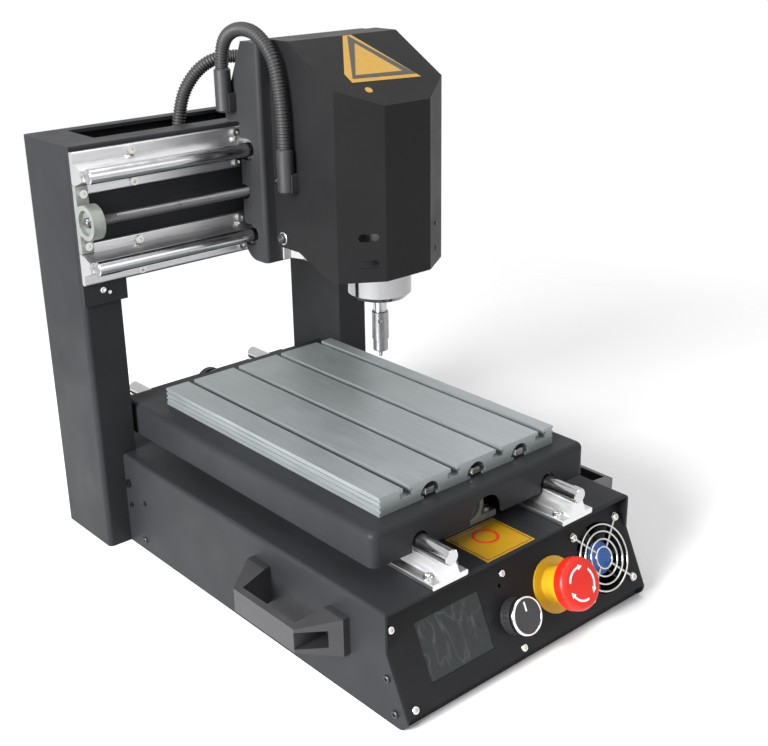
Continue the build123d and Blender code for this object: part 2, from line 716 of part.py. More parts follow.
with BuildPart() as speed_knob:
    with BuildSketch(PANEL.offset(KNOB_GAP)):
        with Locations((KNOB_X, KNOB_U)):
            Circle(KNOB_R)
    extrude(amount=KNOB_H, taper=5)
    fillet(speed_knob.edges().filter_by(GeomType.CIRCLE).group_by(lambda e: round(e.radius, 2))[0], 1.0)
    with BuildSketch(PANEL.offset(KNOB_GAP + 3)):
        with Locations((KNOB_X, KNOB_U)):
            with PolarLocations(KNOB_R + 0.3, KNOB_FLUTES):
                Circle(1.1)
    extrude(amount=KNOB_H, mode=Mode.SUBTRACT)
    with BuildSketch(PANEL.offset(KNOB_GAP)):
        with Locations((KNOB_X, KNOB_U)):
            Circle(POT_BUSH_R + 0.6)
    extrude(amount=POT_BUSH_H, mode=Mode.SUBTRACT)
    with BuildSketch(PANEL.offset(KNOB_GAP + POT_BUSH_H)):
        with Locations((KNOB_X, KNOB_U)):
            Circle(KNOB_SPIGOT_R)
    extrude(amount=-POT_BUSH_H - KNOB_SPIGOT_L)
speed_knob.part.label = "speed_knob"
export_step(speed_knob.part, "parts/speed_knob.step")

with BuildPart() as estop_plate:
    with BuildSketch(PANEL):
        with Locations((ESTOP_X, ESTOP_U)):
            Circle(ESTOP_PLATE_R)
            Circle(ESTOP_HOLE_R, mode=Mode.SUBTRACT)
    extrude(amount=ESTOP_PLATE_T)
estop_plate.part.label = "estop_plate"
export_step(estop_plate.part, "parts/estop_plate.step")

with BuildPart() as estop_body:
    with BuildSketch(PANEL.offset(ESTOP_PLATE_T)):
        with Locations((ESTOP_X, ESTOP_U)):
            Circle(ESTOP_COLLAR_R)
    extrude(amount=ESTOP_COLLAR_H)
    with BuildSketch(PANEL.offset(ESTOP_PLATE_T)):
        with Locations((ESTOP_X, ESTOP_U)):
            Circle(ESTOP_HOLE_R)
    extrude(amount=-ESTOP_PLATE_T - PANEL_T)
    with BuildSketch(PANEL.offset(-PANEL_T)):
        with Locations((ESTOP_X, ESTOP_U)):
            RectangleRounded(ESTOP_BLOCK, ESTOP_BLOCK, 3)
    extrude(amount=-ESTOP_BLOCK_T)
    with BuildSketch(PANEL.offset(ESTOP_PLATE_T + ESTOP_COLLAR_H)):
        with Locations((ESTOP_X, ESTOP_U)):
            Circle(ESTOP_STEM_R + RUN_FIT)
    extrude(amount=-ESTOP_STEM_L - ESTOP_TRAVEL - ESTOP_GAP, mode=Mode.SUBTRACT)
estop_body.part.label = "estop_body"
export_step(estop_body.part, "parts/estop_body.step")

with BuildPart() as estop_button:
    with BuildSketch(PANEL.offset(ESTOP_PLATE_T + ESTOP_COLLAR_H + ESTOP_TRAVEL + ESTOP_GAP)):
        with Locations((ESTOP_X, ESTOP_U)):
            Circle(ESTOP_HEAD_R)
    extrude(amount=ESTOP_HEAD_H)
    rims = estop_button.edges().filter_by(GeomType.CIRCLE)
    fillet(rims.sort_by(lambda e: PANEL.to_local_coords(e.center()).Z)[-1], 4.0)
    with BuildSketch(PANEL.offset(ESTOP_PLATE_T + ESTOP_COLLAR_H + ESTOP_TRAVEL + ESTOP_GAP)):
        with Locations((ESTOP_X, ESTOP_U)):
            Circle(ESTOP_STEM_R)
    extrude(amount=-ESTOP_STEM_L - ESTOP_TRAVEL - ESTOP_GAP)
estop_button.part.label = "estop_button"
export_step(estop_button.part, "parts/estop_button.step")

with BuildPart() as fan_frame:
    with BuildSketch(FAN_PLANE):
        RectangleRounded(FAN_SIZE, FAN_SIZE, 4)
        Circle(FAN_BORE_R, mode=Mode.SUBTRACT)
        with GridLocations(FAN_PITCH, FAN_PITCH, 2, 2):
            Circle(PANEL_SCREW_R + SCREW_SLACK, mode=Mode.SUBTRACT)
    extrude(amount=-FAN_T)
    with BuildSketch(FAN_PLANE.offset(-FAN_T)):
        Circle(FAN_HUB_R)
        with PolarLocations((FAN_HUB_R + FAN_BORE_R) / 2, 3, start_angle=30):
            Rectangle(FAN_BORE_R - FAN_HUB_R + 4, FAN_STAY_W)
    extrude(amount=FAN_STAY_T)
    with BuildSketch(FAN_PLANE.offset(FAN_STAY_T - FAN_T)):
        Circle(FAN_PIN_R)
    extrude(amount=FAN_T - FAN_STAY_T - FAN_HUB_FRONT - 2)
fan_frame.part.label = "fan_frame"
export_step(fan_frame.part, "parts/fan_frame.step")

with BuildPart(FAN_PLANE) as fan_rotor:
    with PolarLocations((FAN_HUB_R + FAN_BORE_R - FAN_TIP_GAP) / 2 - 0.5, FAN_BLADES):
        with Locations((0, 0, -FAN_HUB_FRONT - FAN_HUB_H / 2)):
            Box(FAN_BORE_R - FAN_TIP_GAP - FAN_HUB_R + 1, BLADE_T, BLADE_CHORD,
                rotation=(FAN_PITCH_ANGLE, 0, 0))
    with BuildSketch(FAN_PLANE.offset(-FAN_HUB_FRONT)):
        Circle(FAN_HUB_R)
    extrude(amount=-FAN_HUB_H)
    with BuildSketch(FAN_PLANE.offset(-FAN_HUB_FRONT - FAN_HUB_H)):
        Circle(FAN_PIN_R + RUN_FIT)
    extrude(amount=FAN_HUB_H - 1.5, mode=Mode.SUBTRACT)
fan_rotor.part.label = "fan_rotor"
export_step(fan_rotor.part, "parts/fan_rotor.step")

with BuildPart() as fan_guard:
    for ring in GUARD_RINGS:
        with BuildSketch(Plane(origin=PANEL.from_local_coords((FAN_X, FAN_U, 0)), x_dir=(1, 0, 0),
                               z_dir=PANEL.y_dir)):
            with Locations((ring, -GUARD_WIRE_R * 2.6)):
                Circle(GUARD_WIRE_R)
        revolve(axis=Axis(PANEL.from_local_coords((FAN_X, FAN_U, 0)), PANEL.z_dir))
    with BuildSketch(PANEL):
        with Locations(*FAN_CORNERS):
            Circle(GUARD_EYE_R)
        for a, b in ((1, 1), (-1, 1), (-1, -1), (1, -1)):
            reach = FAN_PITCH / 2
            with Locations(Location((FAN_X + a * reach * 0.6, FAN_U + b * reach * 0.6, 0),
                                    (0, 0, 45 if a * b > 0 else -45))):
                Rectangle(reach * 1.06, GUARD_WIRE_R * 2)
        with Locations(*FAN_CORNERS):
            Circle(PANEL_SCREW_R + SCREW_SLACK, mode=Mode.SUBTRACT)
    extrude(amount=GUARD_WIRE_R * 2)
fan_guard.part.label = "fan_guard"
export_step(fan_guard.part, "parts/fan_guard.step")

with BuildPart() as panel_screws:
    add(cross_screws(PANEL, PANEL_SCREWS, PANEL_SCREW_HEAD_R, PANEL_SCREW_HEAD, PANEL_SCREW_R, SCREW_GRIP))
    add(cross_screws(PANEL.offset(GUARD_WIRE_R * 2), FAN_CORNERS, PANEL_SCREW_HEAD_R, PANEL_SCREW_HEAD,
                     PANEL_SCREW_R, SCREW_GRIP))
panel_screws.part.label = "panel_screws"
export_step(panel_screws.part, "parts/panel_screws.step")

with BuildPart() as side_screws:
    for side in (-1, 1):
        wall = outer_side(side, BASE_W / 2)
        add(cross_screws(wall, [(side * y, z) for y, z in SIDE_CROSS], PANEL_SCREW_HEAD_R,
                         PANEL_SCREW_HEAD, PANEL_SCREW_R, SHEET))
        add(socket_screws(wall, [(side * y, z) for y, z in SIDE_SMALL], PANEL_SCREW_HEAD_R * 0.7,
                          PANEL_SCREW_HEAD, PANEL_SCREW_R, SHEET))
        add(socket_screws(wall, [(side * SIDE_SOCKET[0], SIDE_SOCKET[1])], PANEL_SCREW_HEAD_R * 1.2,
                          PANEL_SCREW_HEAD * 1.6, PANEL_SCREW_R, SHEET))
        add(cross_screws(wall.offset(HANDLE_POCKET_FLOOR), handle_screw_points(side), HANDLE_SCREW_HEAD_R,
                         HANDLE_SCREW_HEAD, RAIL_SCREW_R, HANDLE_POCKET_FLOOR + SHEET))
side_screws.part.label = "side_screws"
export_step(side_screws.part, "parts/side_screws.step")


def carrying_handle(side):
    """Moulded bridge handle: slanted hollow legs that widen to their screwed feet, and a grip."""
    grip = HANDLE_GRIP_L / 2
    half = HANDLE_L / 2
    y, z = HANDLES_AT[side]
    wall = Plane(origin=(side * BASE_W / 2, y, z), x_dir=(0, 1, 0), z_dir=(side, 0, 0))
    plan = Plane(origin=wall.origin, x_dir=(0, 1, 0), z_dir=(0, 0, -side))
    end_on = Plane(origin=wall.origin, x_dir=(side, 0, 0), z_dir=(0, -side, 0))
    with BuildPart() as handle:
        with BuildSketch(plan):
            with BuildLine():
                Polyline((-half, 0), (-half, HANDLE_FOOT_T), (-grip, HANDLE_OUT), (grip, HANDLE_OUT),
                         (half, HANDLE_FOOT_T), (half, 0), (half - HANDLE_FOOT_L, 0),
                         (grip - HANDLE_GRIP_T, HANDLE_OUT - HANDLE_GRIP_T),
                         (HANDLE_GRIP_T - grip, HANDLE_OUT - HANDLE_GRIP_T),
                         (HANDLE_FOOT_L - half, 0), close=True)
            make_face()
        extrude(amount=HANDLE_FOOT_W / 2, both=True)
        with BuildSketch(end_on):
            with BuildLine():
                Polyline((0, -HANDLE_FOOT_W / 2), (HANDLE_FOOT_T, -HANDLE_FOOT_W / 2),
                         (HANDLE_OUT, -HANDLE_GRIP_W / 2), (HANDLE_OUT, HANDLE_GRIP_W / 2),
                         (HANDLE_FOOT_T, HANDLE_FOOT_W / 2), (0, HANDLE_FOOT_W / 2), close=True)
            make_face()
        extrude(amount=HANDLE_L, both=True, mode=Mode.INTERSECT)
        with BuildSketch(wall.offset(HANDLE_POCKET_FLOOR)):
            with Locations((-HANDLE_SCREWS / 2, 0), (HANDLE_SCREWS / 2, 0)):
                Rectangle(HANDLE_POCKET_L, HANDLE_POCKET_W)
        extrude(amount=HANDLE_OUT, mode=Mode.SUBTRACT)
        with BuildSketch(wall):
            with Locations((-HANDLE_SCREWS / 2, 0), (HANDLE_SCREWS / 2, 0)):
                Circle(SCREW_HOLE_R)
        extrude(amount=HANDLE_FOOT_T, mode=Mode.SUBTRACT)
    return handle.part


with BuildPart() as handles:
    for side in (-1, 1):
        add(carrying_handle(side))
handles.part.label = "handles"
export_step(handles.part, "parts/handles.step")

with BuildPart() as control_board:
    with BuildSketch(Plane.XY.offset(FLOOR_TOP)):
        with Locations((BOARD_AT[0], BOARD_AT[1])):
            with GridLocations(BOARD[0] - 10, BOARD[1] - 10, 2, 2):
                Circle(3)
    extrude(amount=8)
    with BuildSketch(Plane.XY.offset(FLOOR_TOP + 8)):
        with Locations(BOARD_AT):
            Rectangle(BOARD[0], BOARD[1])
    extrude(amount=BOARD[2])
    with BuildSketch(Plane.XY.offset(FLOOR_TOP + 8 + BOARD[2])):
        with Locations(BOARD_AT):
            with GridLocations(36, 40, 3, 2):
                Rectangle(24, 18)
    extrude(amount=12)
control_board.part.label = "control_board"
export_step(control_board.part, "parts/control_board.step")

with BuildPart() as power_supply:
    with BuildSketch(Plane.XY.offset(FLOOR_TOP)):
        with Locations(SUPPLY_AT):
            Rectangle(SUPPLY[0], SUPPLY[1])
    extrude(amount=SUPPLY[2])
    chamfer(power_supply.faces().sort_by(Axis.Z)[-1].edges(), 1.0)
power_supply.part.label = "power_supply"
export_step(power_supply.part, "parts/power_supply.step")

INLET_PLANE = Plane(origin=(INLET_AT[0], REAR_Y, INLET_AT[1]), x_dir=(-1, 0, 0), z_dir=(0, 1, 0))
with BuildPart() as power_inlet:
    with BuildSketch(INLET_PLANE):
        RectangleRounded(INLET[0], INLET[1], 3)
    extrude(amount=SHEET)
    with BuildSketch(INLET_PLANE):
        Rectangle(INLET[0] - 6 - 2 * SCREW_SLACK, INLET[1] - 4 - 2 * SCREW_SLACK)
    extrude(amount=-20)
    with BuildSketch(INLET_PLANE.offset(SHEET)):
        Rectangle(24, 16)
    extrude(amount=-16, mode=Mode.SUBTRACT)
    with BuildSketch(INLET_PLANE.offset(SHEET - 16)):
        with Locations((-7, 0), (0, 3), (7, 0)):
            Rectangle(2, 4)
    extrude(amount=12)
power_inlet.part.label = "power_inlet"
export_step(power_inlet.part, "parts/power_inlet.step")


# Long axis

with BuildPart() as y_supports:
    for foot in Y_FEET:
        add(rail_support(foot, Y_RAIL_L, Y_SCREW_POINTS))
y_supports.part.label = "y_supports"
export_step(y_supports.part, "parts/y_supports.step")

with BuildPart() as y_shafts:
    for side in (-1, 1):
        end = Plane(origin=(side * Y_RAIL_X, Y_RAIL_FRONT - SHAFT_END, Y_SHAFT_Z), z_dir=(0, 1, 0))
        add(round_bar(end, SHAFT_R, Y_RAIL_L + 2 * SHAFT_END))
y_shafts.part.label = "y_shafts"
export_step(y_shafts.part, "parts/y_shafts.step")

with BuildPart() as y_screw:
    with BuildSketch(station(Y_BEARING_Y - BEARING_T / 2)):
        with Locations((0, Y_SCREW_Z)):
            Circle(LEAD_R)
    extrude(amount=Y_BEARING_Y - BEARING_T / 2 - PULLEY_Y - PULLEY_W)
    with BuildSketch(station(PULLEY_Y)):
        with Locations((0, Y_SCREW_Z)):
            Circle(PULLEY_R)
    extrude(amount=-PULLEY_W)
y_screw.part.label = "y_screw"
export_step(y_screw.part, "parts/y_screw.step")

with BuildPart() as y_belt:
    with BuildSketch(station(PULLEY_Y + (PULLEY_W - BELT_W) / 2)):
        with Locations((0, (Y_SCREW_Z + Y_MOTOR_Z) / 2)):
            SlotCenterToCenter(Y_SCREW_Z - Y_MOTOR_Z, 2 * BELT_OUT_R, rotation=90)
            SlotCenterToCenter(Y_SCREW_Z - Y_MOTOR_Z, 2 * BELT_IN_R, rotation=90, mode=Mode.SUBTRACT)
    extrude(amount=-BELT_W)
y_belt.part.label = "y_belt"
export_step(y_belt.part, "parts/y_belt.step")

TABLE_REAR = TABLE_FRONT + TABLE_L
TABLE_IN_L = TABLE_L + TABLE_CORNER_R
with BuildPart() as table:
    with BuildSketch(Plane.XY.offset(TABLE_SKIRT_Z)):
        with Locations((0, TABLE_MID)):
            Rectangle(TABLE_W, TABLE_L)
    extrude(amount=TABLE_TOP - TABLE_SKIRT_Z)
    fillet(table.edges().filter_by(Axis.Z).group_by(Axis.Y)[0], TABLE_CORNER_R)
    rim = [e for e in table.faces().sort_by(Axis.Z)[-1].edges() if e.center().Y < TABLE_REAR - 1]
    fillet(rim, TABLE_EDGE_R)
    with BuildSketch(Plane.XY.offset(TABLE_SKIRT_Z)):
        with Locations((0, TABLE_FRONT + TABLE_T + TABLE_IN_L / 2)):
            RectangleRounded(TABLE_W - 2 * TABLE_T, TABLE_IN_L, TABLE_CORNER_R - TABLE_T)
    extrude(amount=TABLE_UNDER - TABLE_SKIRT_Z, mode=Mode.SUBTRACT)
    with BuildSketch(station(TABLE_FRONT)):
        with Locations((0, Y_SCREW_Z)):
            Circle(SCREW_ARCH_R)
        with Locations((-Y_RAIL_X, Y_SHAFT_Z), (Y_RAIL_X, Y_SHAFT_Z)):
            Circle(SHAFT_R + SKIRT_GAP)
        with Locations((-Y_RAIL_X, Y_SHAFT_Z - 10), (Y_RAIL_X, Y_SHAFT_Z - 10)):
            Rectangle(2 * (SHAFT_R + SKIRT_GAP), 20)
        with Locations((0, Y_SCREW_Z - 10)):
            Rectangle(2 * SCREW_ARCH_R, 20)
    extrude(amount=-TABLE_T - 1, mode=Mode.SUBTRACT)
    with BuildSketch(Plane.XY.offset(TABLE_TOP)):
        with Locations(*[(x, BED_FRONT + BOLT_INSET) for x in BED_ARCH_XS]):
            Circle(BOLT_R + SCREW_SLACK)
        with Locations(*[(x, BED_FRONT + BED_L - BOLT_INSET) for x in (BED_ARCH_XS[0], BED_ARCH_XS[-1])]):
            Circle(BOLT_R + SCREW_SLACK)
    extrude(amount=-TABLE_T - 1, mode=Mode.SUBTRACT)
table.part.label = "table"
export_step(table.part, "parts/table.step")

with BuildPart() as bed:
    with BuildSketch(station(BED_FRONT)):
        with Locations((0, TABLE_TOP + BED_T / 2)):
            Rectangle(BED_W, BED_T)
        with Locations(*[(x, BED_TOP - BED_SLOT_LIP / 2) for x in BED_SLOT_XS]):
            Rectangle(BED_SLOT_W, BED_SLOT_LIP + 0.01, mode=Mode.SUBTRACT)
        with Locations(*[(x, BED_TOP - BED_SLOT_LIP - BED_TEE_H / 2) for x in BED_SLOT_XS]):
            Rectangle(BED_TEE_W, BED_TEE_H, mode=Mode.SUBTRACT)
        for x in BED_ARCH_XS:
            with BuildLine():
                Line((x - BED_ARCH_R, TABLE_TOP + BED_ARCH_LIP), (x + BED_ARCH_R, TABLE_TOP + BED_ARCH_LIP))
                ThreePointArc((x + BED_ARCH_R, TABLE_TOP + BED_ARCH_LIP),
                              (x, TABLE_TOP + BED_ARCH_LIP + BED_ARCH_R), (x - BED_ARCH_R, TABLE_TOP + BED_ARCH_LIP))
            make_face(mode=Mode.SUBTRACT)
        with Locations(*[(x, TABLE_TOP + BED_ARCH_LIP / 2) for x in BED_ARCH_XS]):
            Rectangle(BED_ARCH_MOUTH, BED_ARCH_LIP + 0.01, mode=Mode.SUBTRACT)
        for side in (-1, 1):
            with Locations(*[(side * BED_W / 2, TABLE_TOP + h) for h in (4.0, 8.0, 12.0)]):
                Rectangle(BED_GROOVE, BED_GROOVE, mode=Mode.SUBTRACT)
    extrude(amount=-BED_L)
bed.part.label = "bed"
export_step(bed.part, "parts/bed.step")

with BuildPart() as bed_bolts:
    spots = [(x, BED_FRONT + BOLT_INSET) for x in BED_ARCH_XS]
    spots += [(x, BED_FRONT + BED_L - BOLT_INSET) for x in (BED_ARCH_XS[0], BED_ARCH_XS[-1])]
    with BuildSketch(Plane.XY.offset(TABLE_TOP + BED_ARCH_LIP)):
        with Locations(*spots):
            RegularPolygon(BOLT_HEAD_R, 6)
    extrude(amount=BOLT_HEAD_H)
    with BuildSketch(Plane.XY.offset(TABLE_TOP + BED_ARCH_LIP)):
        with Locations(*spots):
            Circle(BOLT_R)
    extrude(amount=-BED_ARCH_LIP - TABLE_T)
    with BuildSketch(Plane.XY.offset(TABLE_UNDER)):
        with Locations(*spots):
            RegularPolygon(BOLT_HEAD_R * 0.9, 6)
    extrude(amount=-BOLT_NUT_H)
bed_bolts.part.label = "bed_bolts"
export_step(bed_bolts.part, "parts/bed_bolts.step")

with BuildPart() as y_blocks:
    for foot in Y_FEET:
        for centre in (TABLE_MID - TABLE_BLOCK_PITCH / 2, TABLE_MID + TABLE_BLOCK_PITCH / 2):
            add(bearing_block(foot, foot.origin.Y - centre - BLOCK_L / 2))
y_blocks.part.label = "y_blocks"
export_step(y_blocks.part, "parts/y_blocks.step")

with BuildPart() as y_nut:
    with BuildSketch(station(TABLE_MID)):
        with Locations((0, (TABLE_UNDER + Y_SCREW_Z - NUT_W / 2 + 1) / 2)):
            Rectangle(NUT_W, TABLE_UNDER - Y_SCREW_Z + NUT_W / 2 - 1)
        with Locations((0, Y_SCREW_Z)):
            Circle(LEAD_R + RUN_FIT, mode=Mode.SUBTRACT)
    extrude(amount=NUT_T / 2, both=True)
y_nut.part.label = "y_nut"
export_step(y_nut.part, "parts/y_nut.step")


# Gantry

def gantry_column(side):
    """Folded box column that stands on the ground outside the base and steps in over its top."""
    mid = GANTRY_Y + GANTRY_D / 2
    out = GANTRY_W / 2
    knee = BASE_W / 2
    with BuildPart() as column:
        with BuildSketch(station(mid)):
            with BuildLine():
                Polyline((side * knee, 0), (side * out, 0), (side * out, GANTRY_H), (side * (knee - COLUMN_IN), GANTRY_H),
                         (side * (knee - COLUMN_IN), BASE_H), (side * knee, BASE_H), close=True)
            make_face()
        extrude(amount=GANTRY_D / 2, both=True)
        fillet(column.edges().filter_by(Axis.Z).filter_by_position(Axis.X, side * out - 1, side * out + 1), COLUMN_R)
        with BuildSketch(station(mid)):
            with BuildLine():
                w = COLUMN_WALL
                Polyline((side * (knee + w), -1), (side * (out - w), -1), (side * (out - w), GANTRY_H - w),
                         (side * (knee - COLUMN_IN + w), GANTRY_H - w), (side * (knee - COLUMN_IN + w), BASE_H + w),
                         (side * (knee + w), BASE_H + w), close=True)
            make_face()
        extrude(amount=GANTRY_D / 2 - COLUMN_WALL, both=True, mode=Mode.SUBTRACT)
    return column.part


with BuildPart() as column_left:
    add(gantry_column(-1))
column_left.part.label = "column_left"
export_step(column_left.part, "parts/column_left.step")

with BuildPart() as column_right:
    add(gantry_column(1))
column_right.part.label = "column_right"
export_step(column_right.part, "parts/column_right.step")

TAB_IN_X = BASE_W / 2 - COLUMN_IN - (BEAM_TAB_IN - COLUMN_IN)
with BuildPart() as beam:
    with BuildSketch(station(GANTRY_Y)):
        with BuildLine():
            Polyline((-GANTRY_W / 2, BEAM_TAB_Z), (-TAB_IN_X, BEAM_TAB_Z), (-TAB_IN_X, BEAM_BOTTOM),
                     (TAB_IN_X, BEAM_BOTTOM), (TAB_IN_X, BEAM_TAB_Z), (GANTRY_W / 2, BEAM_TAB_Z),
                     (GANTRY_W / 2, GANTRY_H), (-GANTRY_W / 2, GANTRY_H), close=True)
        make_face()
    extrude(amount=BEAM_SHEET)
    with BuildSketch(Plane.XY.offset(GANTRY_H)):
        with Locations((0, GANTRY_Y + BEAM_FRONT_LIP / 2)):
            Rectangle(BASE_W - 2 * COLUMN_IN, BEAM_FRONT_LIP)
        with Locations((0, GANTRY_Y + GANTRY_D - BEAM_REAR_LIP / 2)):
            Rectangle(BASE_W - 2 * COLUMN_IN, BEAM_REAR_LIP)
    extrude(amount=-BEAM_SHEET)
    with BuildSketch(Plane.XY.offset(BEAM_BOTTOM)):
        with Locations((0, GANTRY_Y + GANTRY_D / 2)):
            Rectangle(BASE_W - 2 * COLUMN_IN, GANTRY_D)
    extrude(amount=BEAM_SHEET)
    with BuildSketch(station(GANTRY_Y + GANTRY_D)):
        with Locations((0, (BEAM_BOTTOM + GANTRY_H) / 2)):
            Rectangle(BASE_W - 2 * COLUMN_IN, GANTRY_H - BEAM_BOTTOM)
    extrude(amount=BEAM_SHEET)
    fillet(beam.edges().filter_by(Axis.X).group_by(Axis.Z)[-1].sort_by(Axis.Y)[0], BEAM_FOLD_R)
    for foot in X_FEET:
        with BuildSketch(flat_of(foot)):
            with Locations(*X_SCREW_POINTS):
                Circle(SCREW_HOLE_R)
        extrude(amount=-BEAM_SHEET - 1, mode=Mode.SUBTRACT)
    with BuildSketch(flat_of(X_STAND)):
        with Locations(*STAND_BOLTS):
            Circle(SCREW_HOLE_R)
    extrude(amount=-BEAM_SHEET - 1, mode=Mode.SUBTRACT)
beam.part.label = "beam"
export_step(beam.part, "parts/beam.step")

with BuildPart() as x_supports:
    for foot in X_FEET:
        add(rail_support(foot, GANTRY_W, X_SCREW_POINTS))
    with BuildSketch(station(RAIL_FACE_Y)):
        with Locations((-GANTRY_W / 2 + BEARING_T / 2, X_SCREW_Z)):
            Rectangle(BEARING_T + 0.6, BEARING_L + 0.6)
    extrude(amount=RAIL_FOOT + 0.5, mode=Mode.SUBTRACT)
x_supports.part.label = "x_supports"
export_step(x_supports.part, "parts/x_supports.step")

with BuildPart() as x_shafts:
    for z in (X_RAIL_LOW_Z, X_RAIL_HIGH_Z):
        end = Plane(origin=(X_SHAFT_END - GANTRY_W / 2, X_SHAFT_Y, z), z_dir=(1, 0, 0))
        add(round_bar(end, SHAFT_R, GANTRY_W - 2 * X_SHAFT_END))
x_shafts.part.label = "x_shafts"
export_step(x_shafts.part, "parts/x_shafts.step")

with BuildPart() as rail_screws:
    for foot in Y_FEET:
        add(socket_screws(flat_of(foot).offset(RAIL_FOOT), Y_SCREW_POINTS, RAIL_SCREW_HEAD_R, RAIL_SCREW_HEAD,
                          RAIL_SCREW_R, RAIL_FOOT + SHEET))
    for foot in X_FEET:
        add(socket_screws(flat_of(foot).offset(RAIL_FOOT), X_SCREW_POINTS, RAIL_SCREW_HEAD_R, RAIL_SCREW_HEAD,
                          RAIL_SCREW_R, RAIL_FOOT + SHEET))
    for stand in (*Y_STANDS, X_STAND):
        add(socket_screws(flat_of(stand).offset(BEARING_FOOT), STAND_BOLTS, RAIL_SCREW_HEAD_R, RAIL_SCREW_HEAD,
                          RAIL_SCREW_R, BEARING_FOOT + SHEET))
rail_screws.part.label = "rail_screws"
export_step(rail_screws.part, "parts/rail_screws.step")

with BuildPart() as screw_bearings:
    for stand in (*Y_STANDS, X_STAND):
        add(pillow_block(stand))
screw_bearings.part.label = "screw_bearings"
export_step(screw_bearings.part, "parts/screw_bearings.step")

BRACKET_FRONT = X_SCREW_Y - MOTOR_W / 2 - 1.5
BRACKET_REAR = GANTRY_Y + 50.0
with BuildPart() as motor_brackets:
    with BuildSketch(flank(X_BRACKET_X)):
        with Locations(((BRACKET_FRONT + BRACKET_REAR) / 2, X_SCREW_Z)):
            RectangleRounded(BRACKET_REAR - BRACKET_FRONT, MOTOR_BRACKET_W, 3)
        with Locations((X_SCREW_Y, X_SCREW_Z)):
            Circle(MOTOR_PILOT_R + SCREW_SLACK, mode=Mode.SUBTRACT)
            with GridLocations(MOTOR_SCREWS, MOTOR_SCREWS, 2, 2):
                Circle(1.6, mode=Mode.SUBTRACT)
        with Locations((BRACKET_REAR - 12, X_SCREW_Z - 15), (BRACKET_REAR - 12, X_SCREW_Z + 15)):
            Circle(2.6, mode=Mode.SUBTRACT)
    extrude(amount=MOTOR_BRACKET_T)
    with BuildSketch(station(Y_BRACKET_Y)):
        with Locations((0, (FLOOR_TOP + Y_MOTOR_Z + MOTOR_W / 2) / 2)):
            Rectangle(MOTOR_BRACKET_W, Y_MOTOR_Z + MOTOR_W / 2 - FLOOR_TOP)
        with Locations((0, Y_MOTOR_Z)):
            Circle(MOTOR_PILOT_R + SCREW_SLACK, mode=Mode.SUBTRACT)
            with GridLocations(MOTOR_SCREWS, MOTOR_SCREWS, 2, 2):
                Circle(1.6, mode=Mode.SUBTRACT)
    extrude(amount=-MOTOR_BRACKET_T)
    with BuildSketch(Plane.XY.offset(FLOOR_TOP)):
        with Locations((0, Y_BRACKET_Y - BRACKET_FOOT / 2)):
            Rectangle(MOTOR_BRACKET_W, BRACKET_FOOT)
        with Locations((-18, Y_BRACKET_Y - 20), (18, Y_BRACKET_Y - 20)):
            Circle(2.6, mode=Mode.SUBTRACT)
    extrude(amount=MOTOR_BRACKET_T)
motor_brackets.part.label = "motor_brackets"
export_step(motor_brackets.part, "parts/motor_brackets.step")

with BuildPart() as axis_motors:
    add(stepping_motor(Y_MOTOR_FACE, MOTOR_W, MOTOR_L))
    with BuildSketch(Y_MOTOR_FACE.offset(MOTOR_SCREW_END + 1)):
        Circle(MOTOR_SHAFT_R)
    extrude(amount=PULLEY_Y - Y_MOTOR_Y - MOTOR_SCREW_END - 1)
    with BuildSketch(Y_MOTOR_FACE.offset(PULLEY_Y - Y_MOTOR_Y)):
        Circle(PULLEY_R)
    extrude(amount=PULLEY_W)
    add(stepping_motor(Plane(origin=(X_MOTOR_X, X_SCREW_Y, X_SCREW_Z), x_dir=(0, 1, 0), z_dir=(1, 0, 0)),
                       MOTOR_W, MOTOR_L))
axis_motors.part.label = "axis_motors"
export_step(axis_motors.part, "parts/axis_motors.step")

with BuildPart() as x_screw:
    with BuildSketch(Plane(origin=(-GANTRY_W / 2, X_SCREW_Y, X_SCREW_Z), x_dir=(0, 1, 0), z_dir=(1, 0, 0))):
        Circle(LEAD_R)
    extrude(amount=GANTRY_W + MOTOR_BRACKET_T + MOTOR_SCREW_END - 2)
x_screw.part.label = "x_screw"
export_step(x_screw.part, "parts/x_screw.step")

with BuildPart() as beam_gland:
    with BuildSketch(Plane.XY.offset(BEAM_BOTTOM + BEAM_SHEET)):
        with Locations((BEAM_GLAND_X, BEAM_GLAND_Y)):
            Circle(GLAND_R)
    extrude(amount=GLAND_H)
    fillet(beam_gland.faces().sort_by(Axis.Z)[-1].edges(), 1.5)
beam_gland.part.label = "beam_gland"
export_step(beam_gland.part, "parts/beam_gland.step")


# Cross carriage

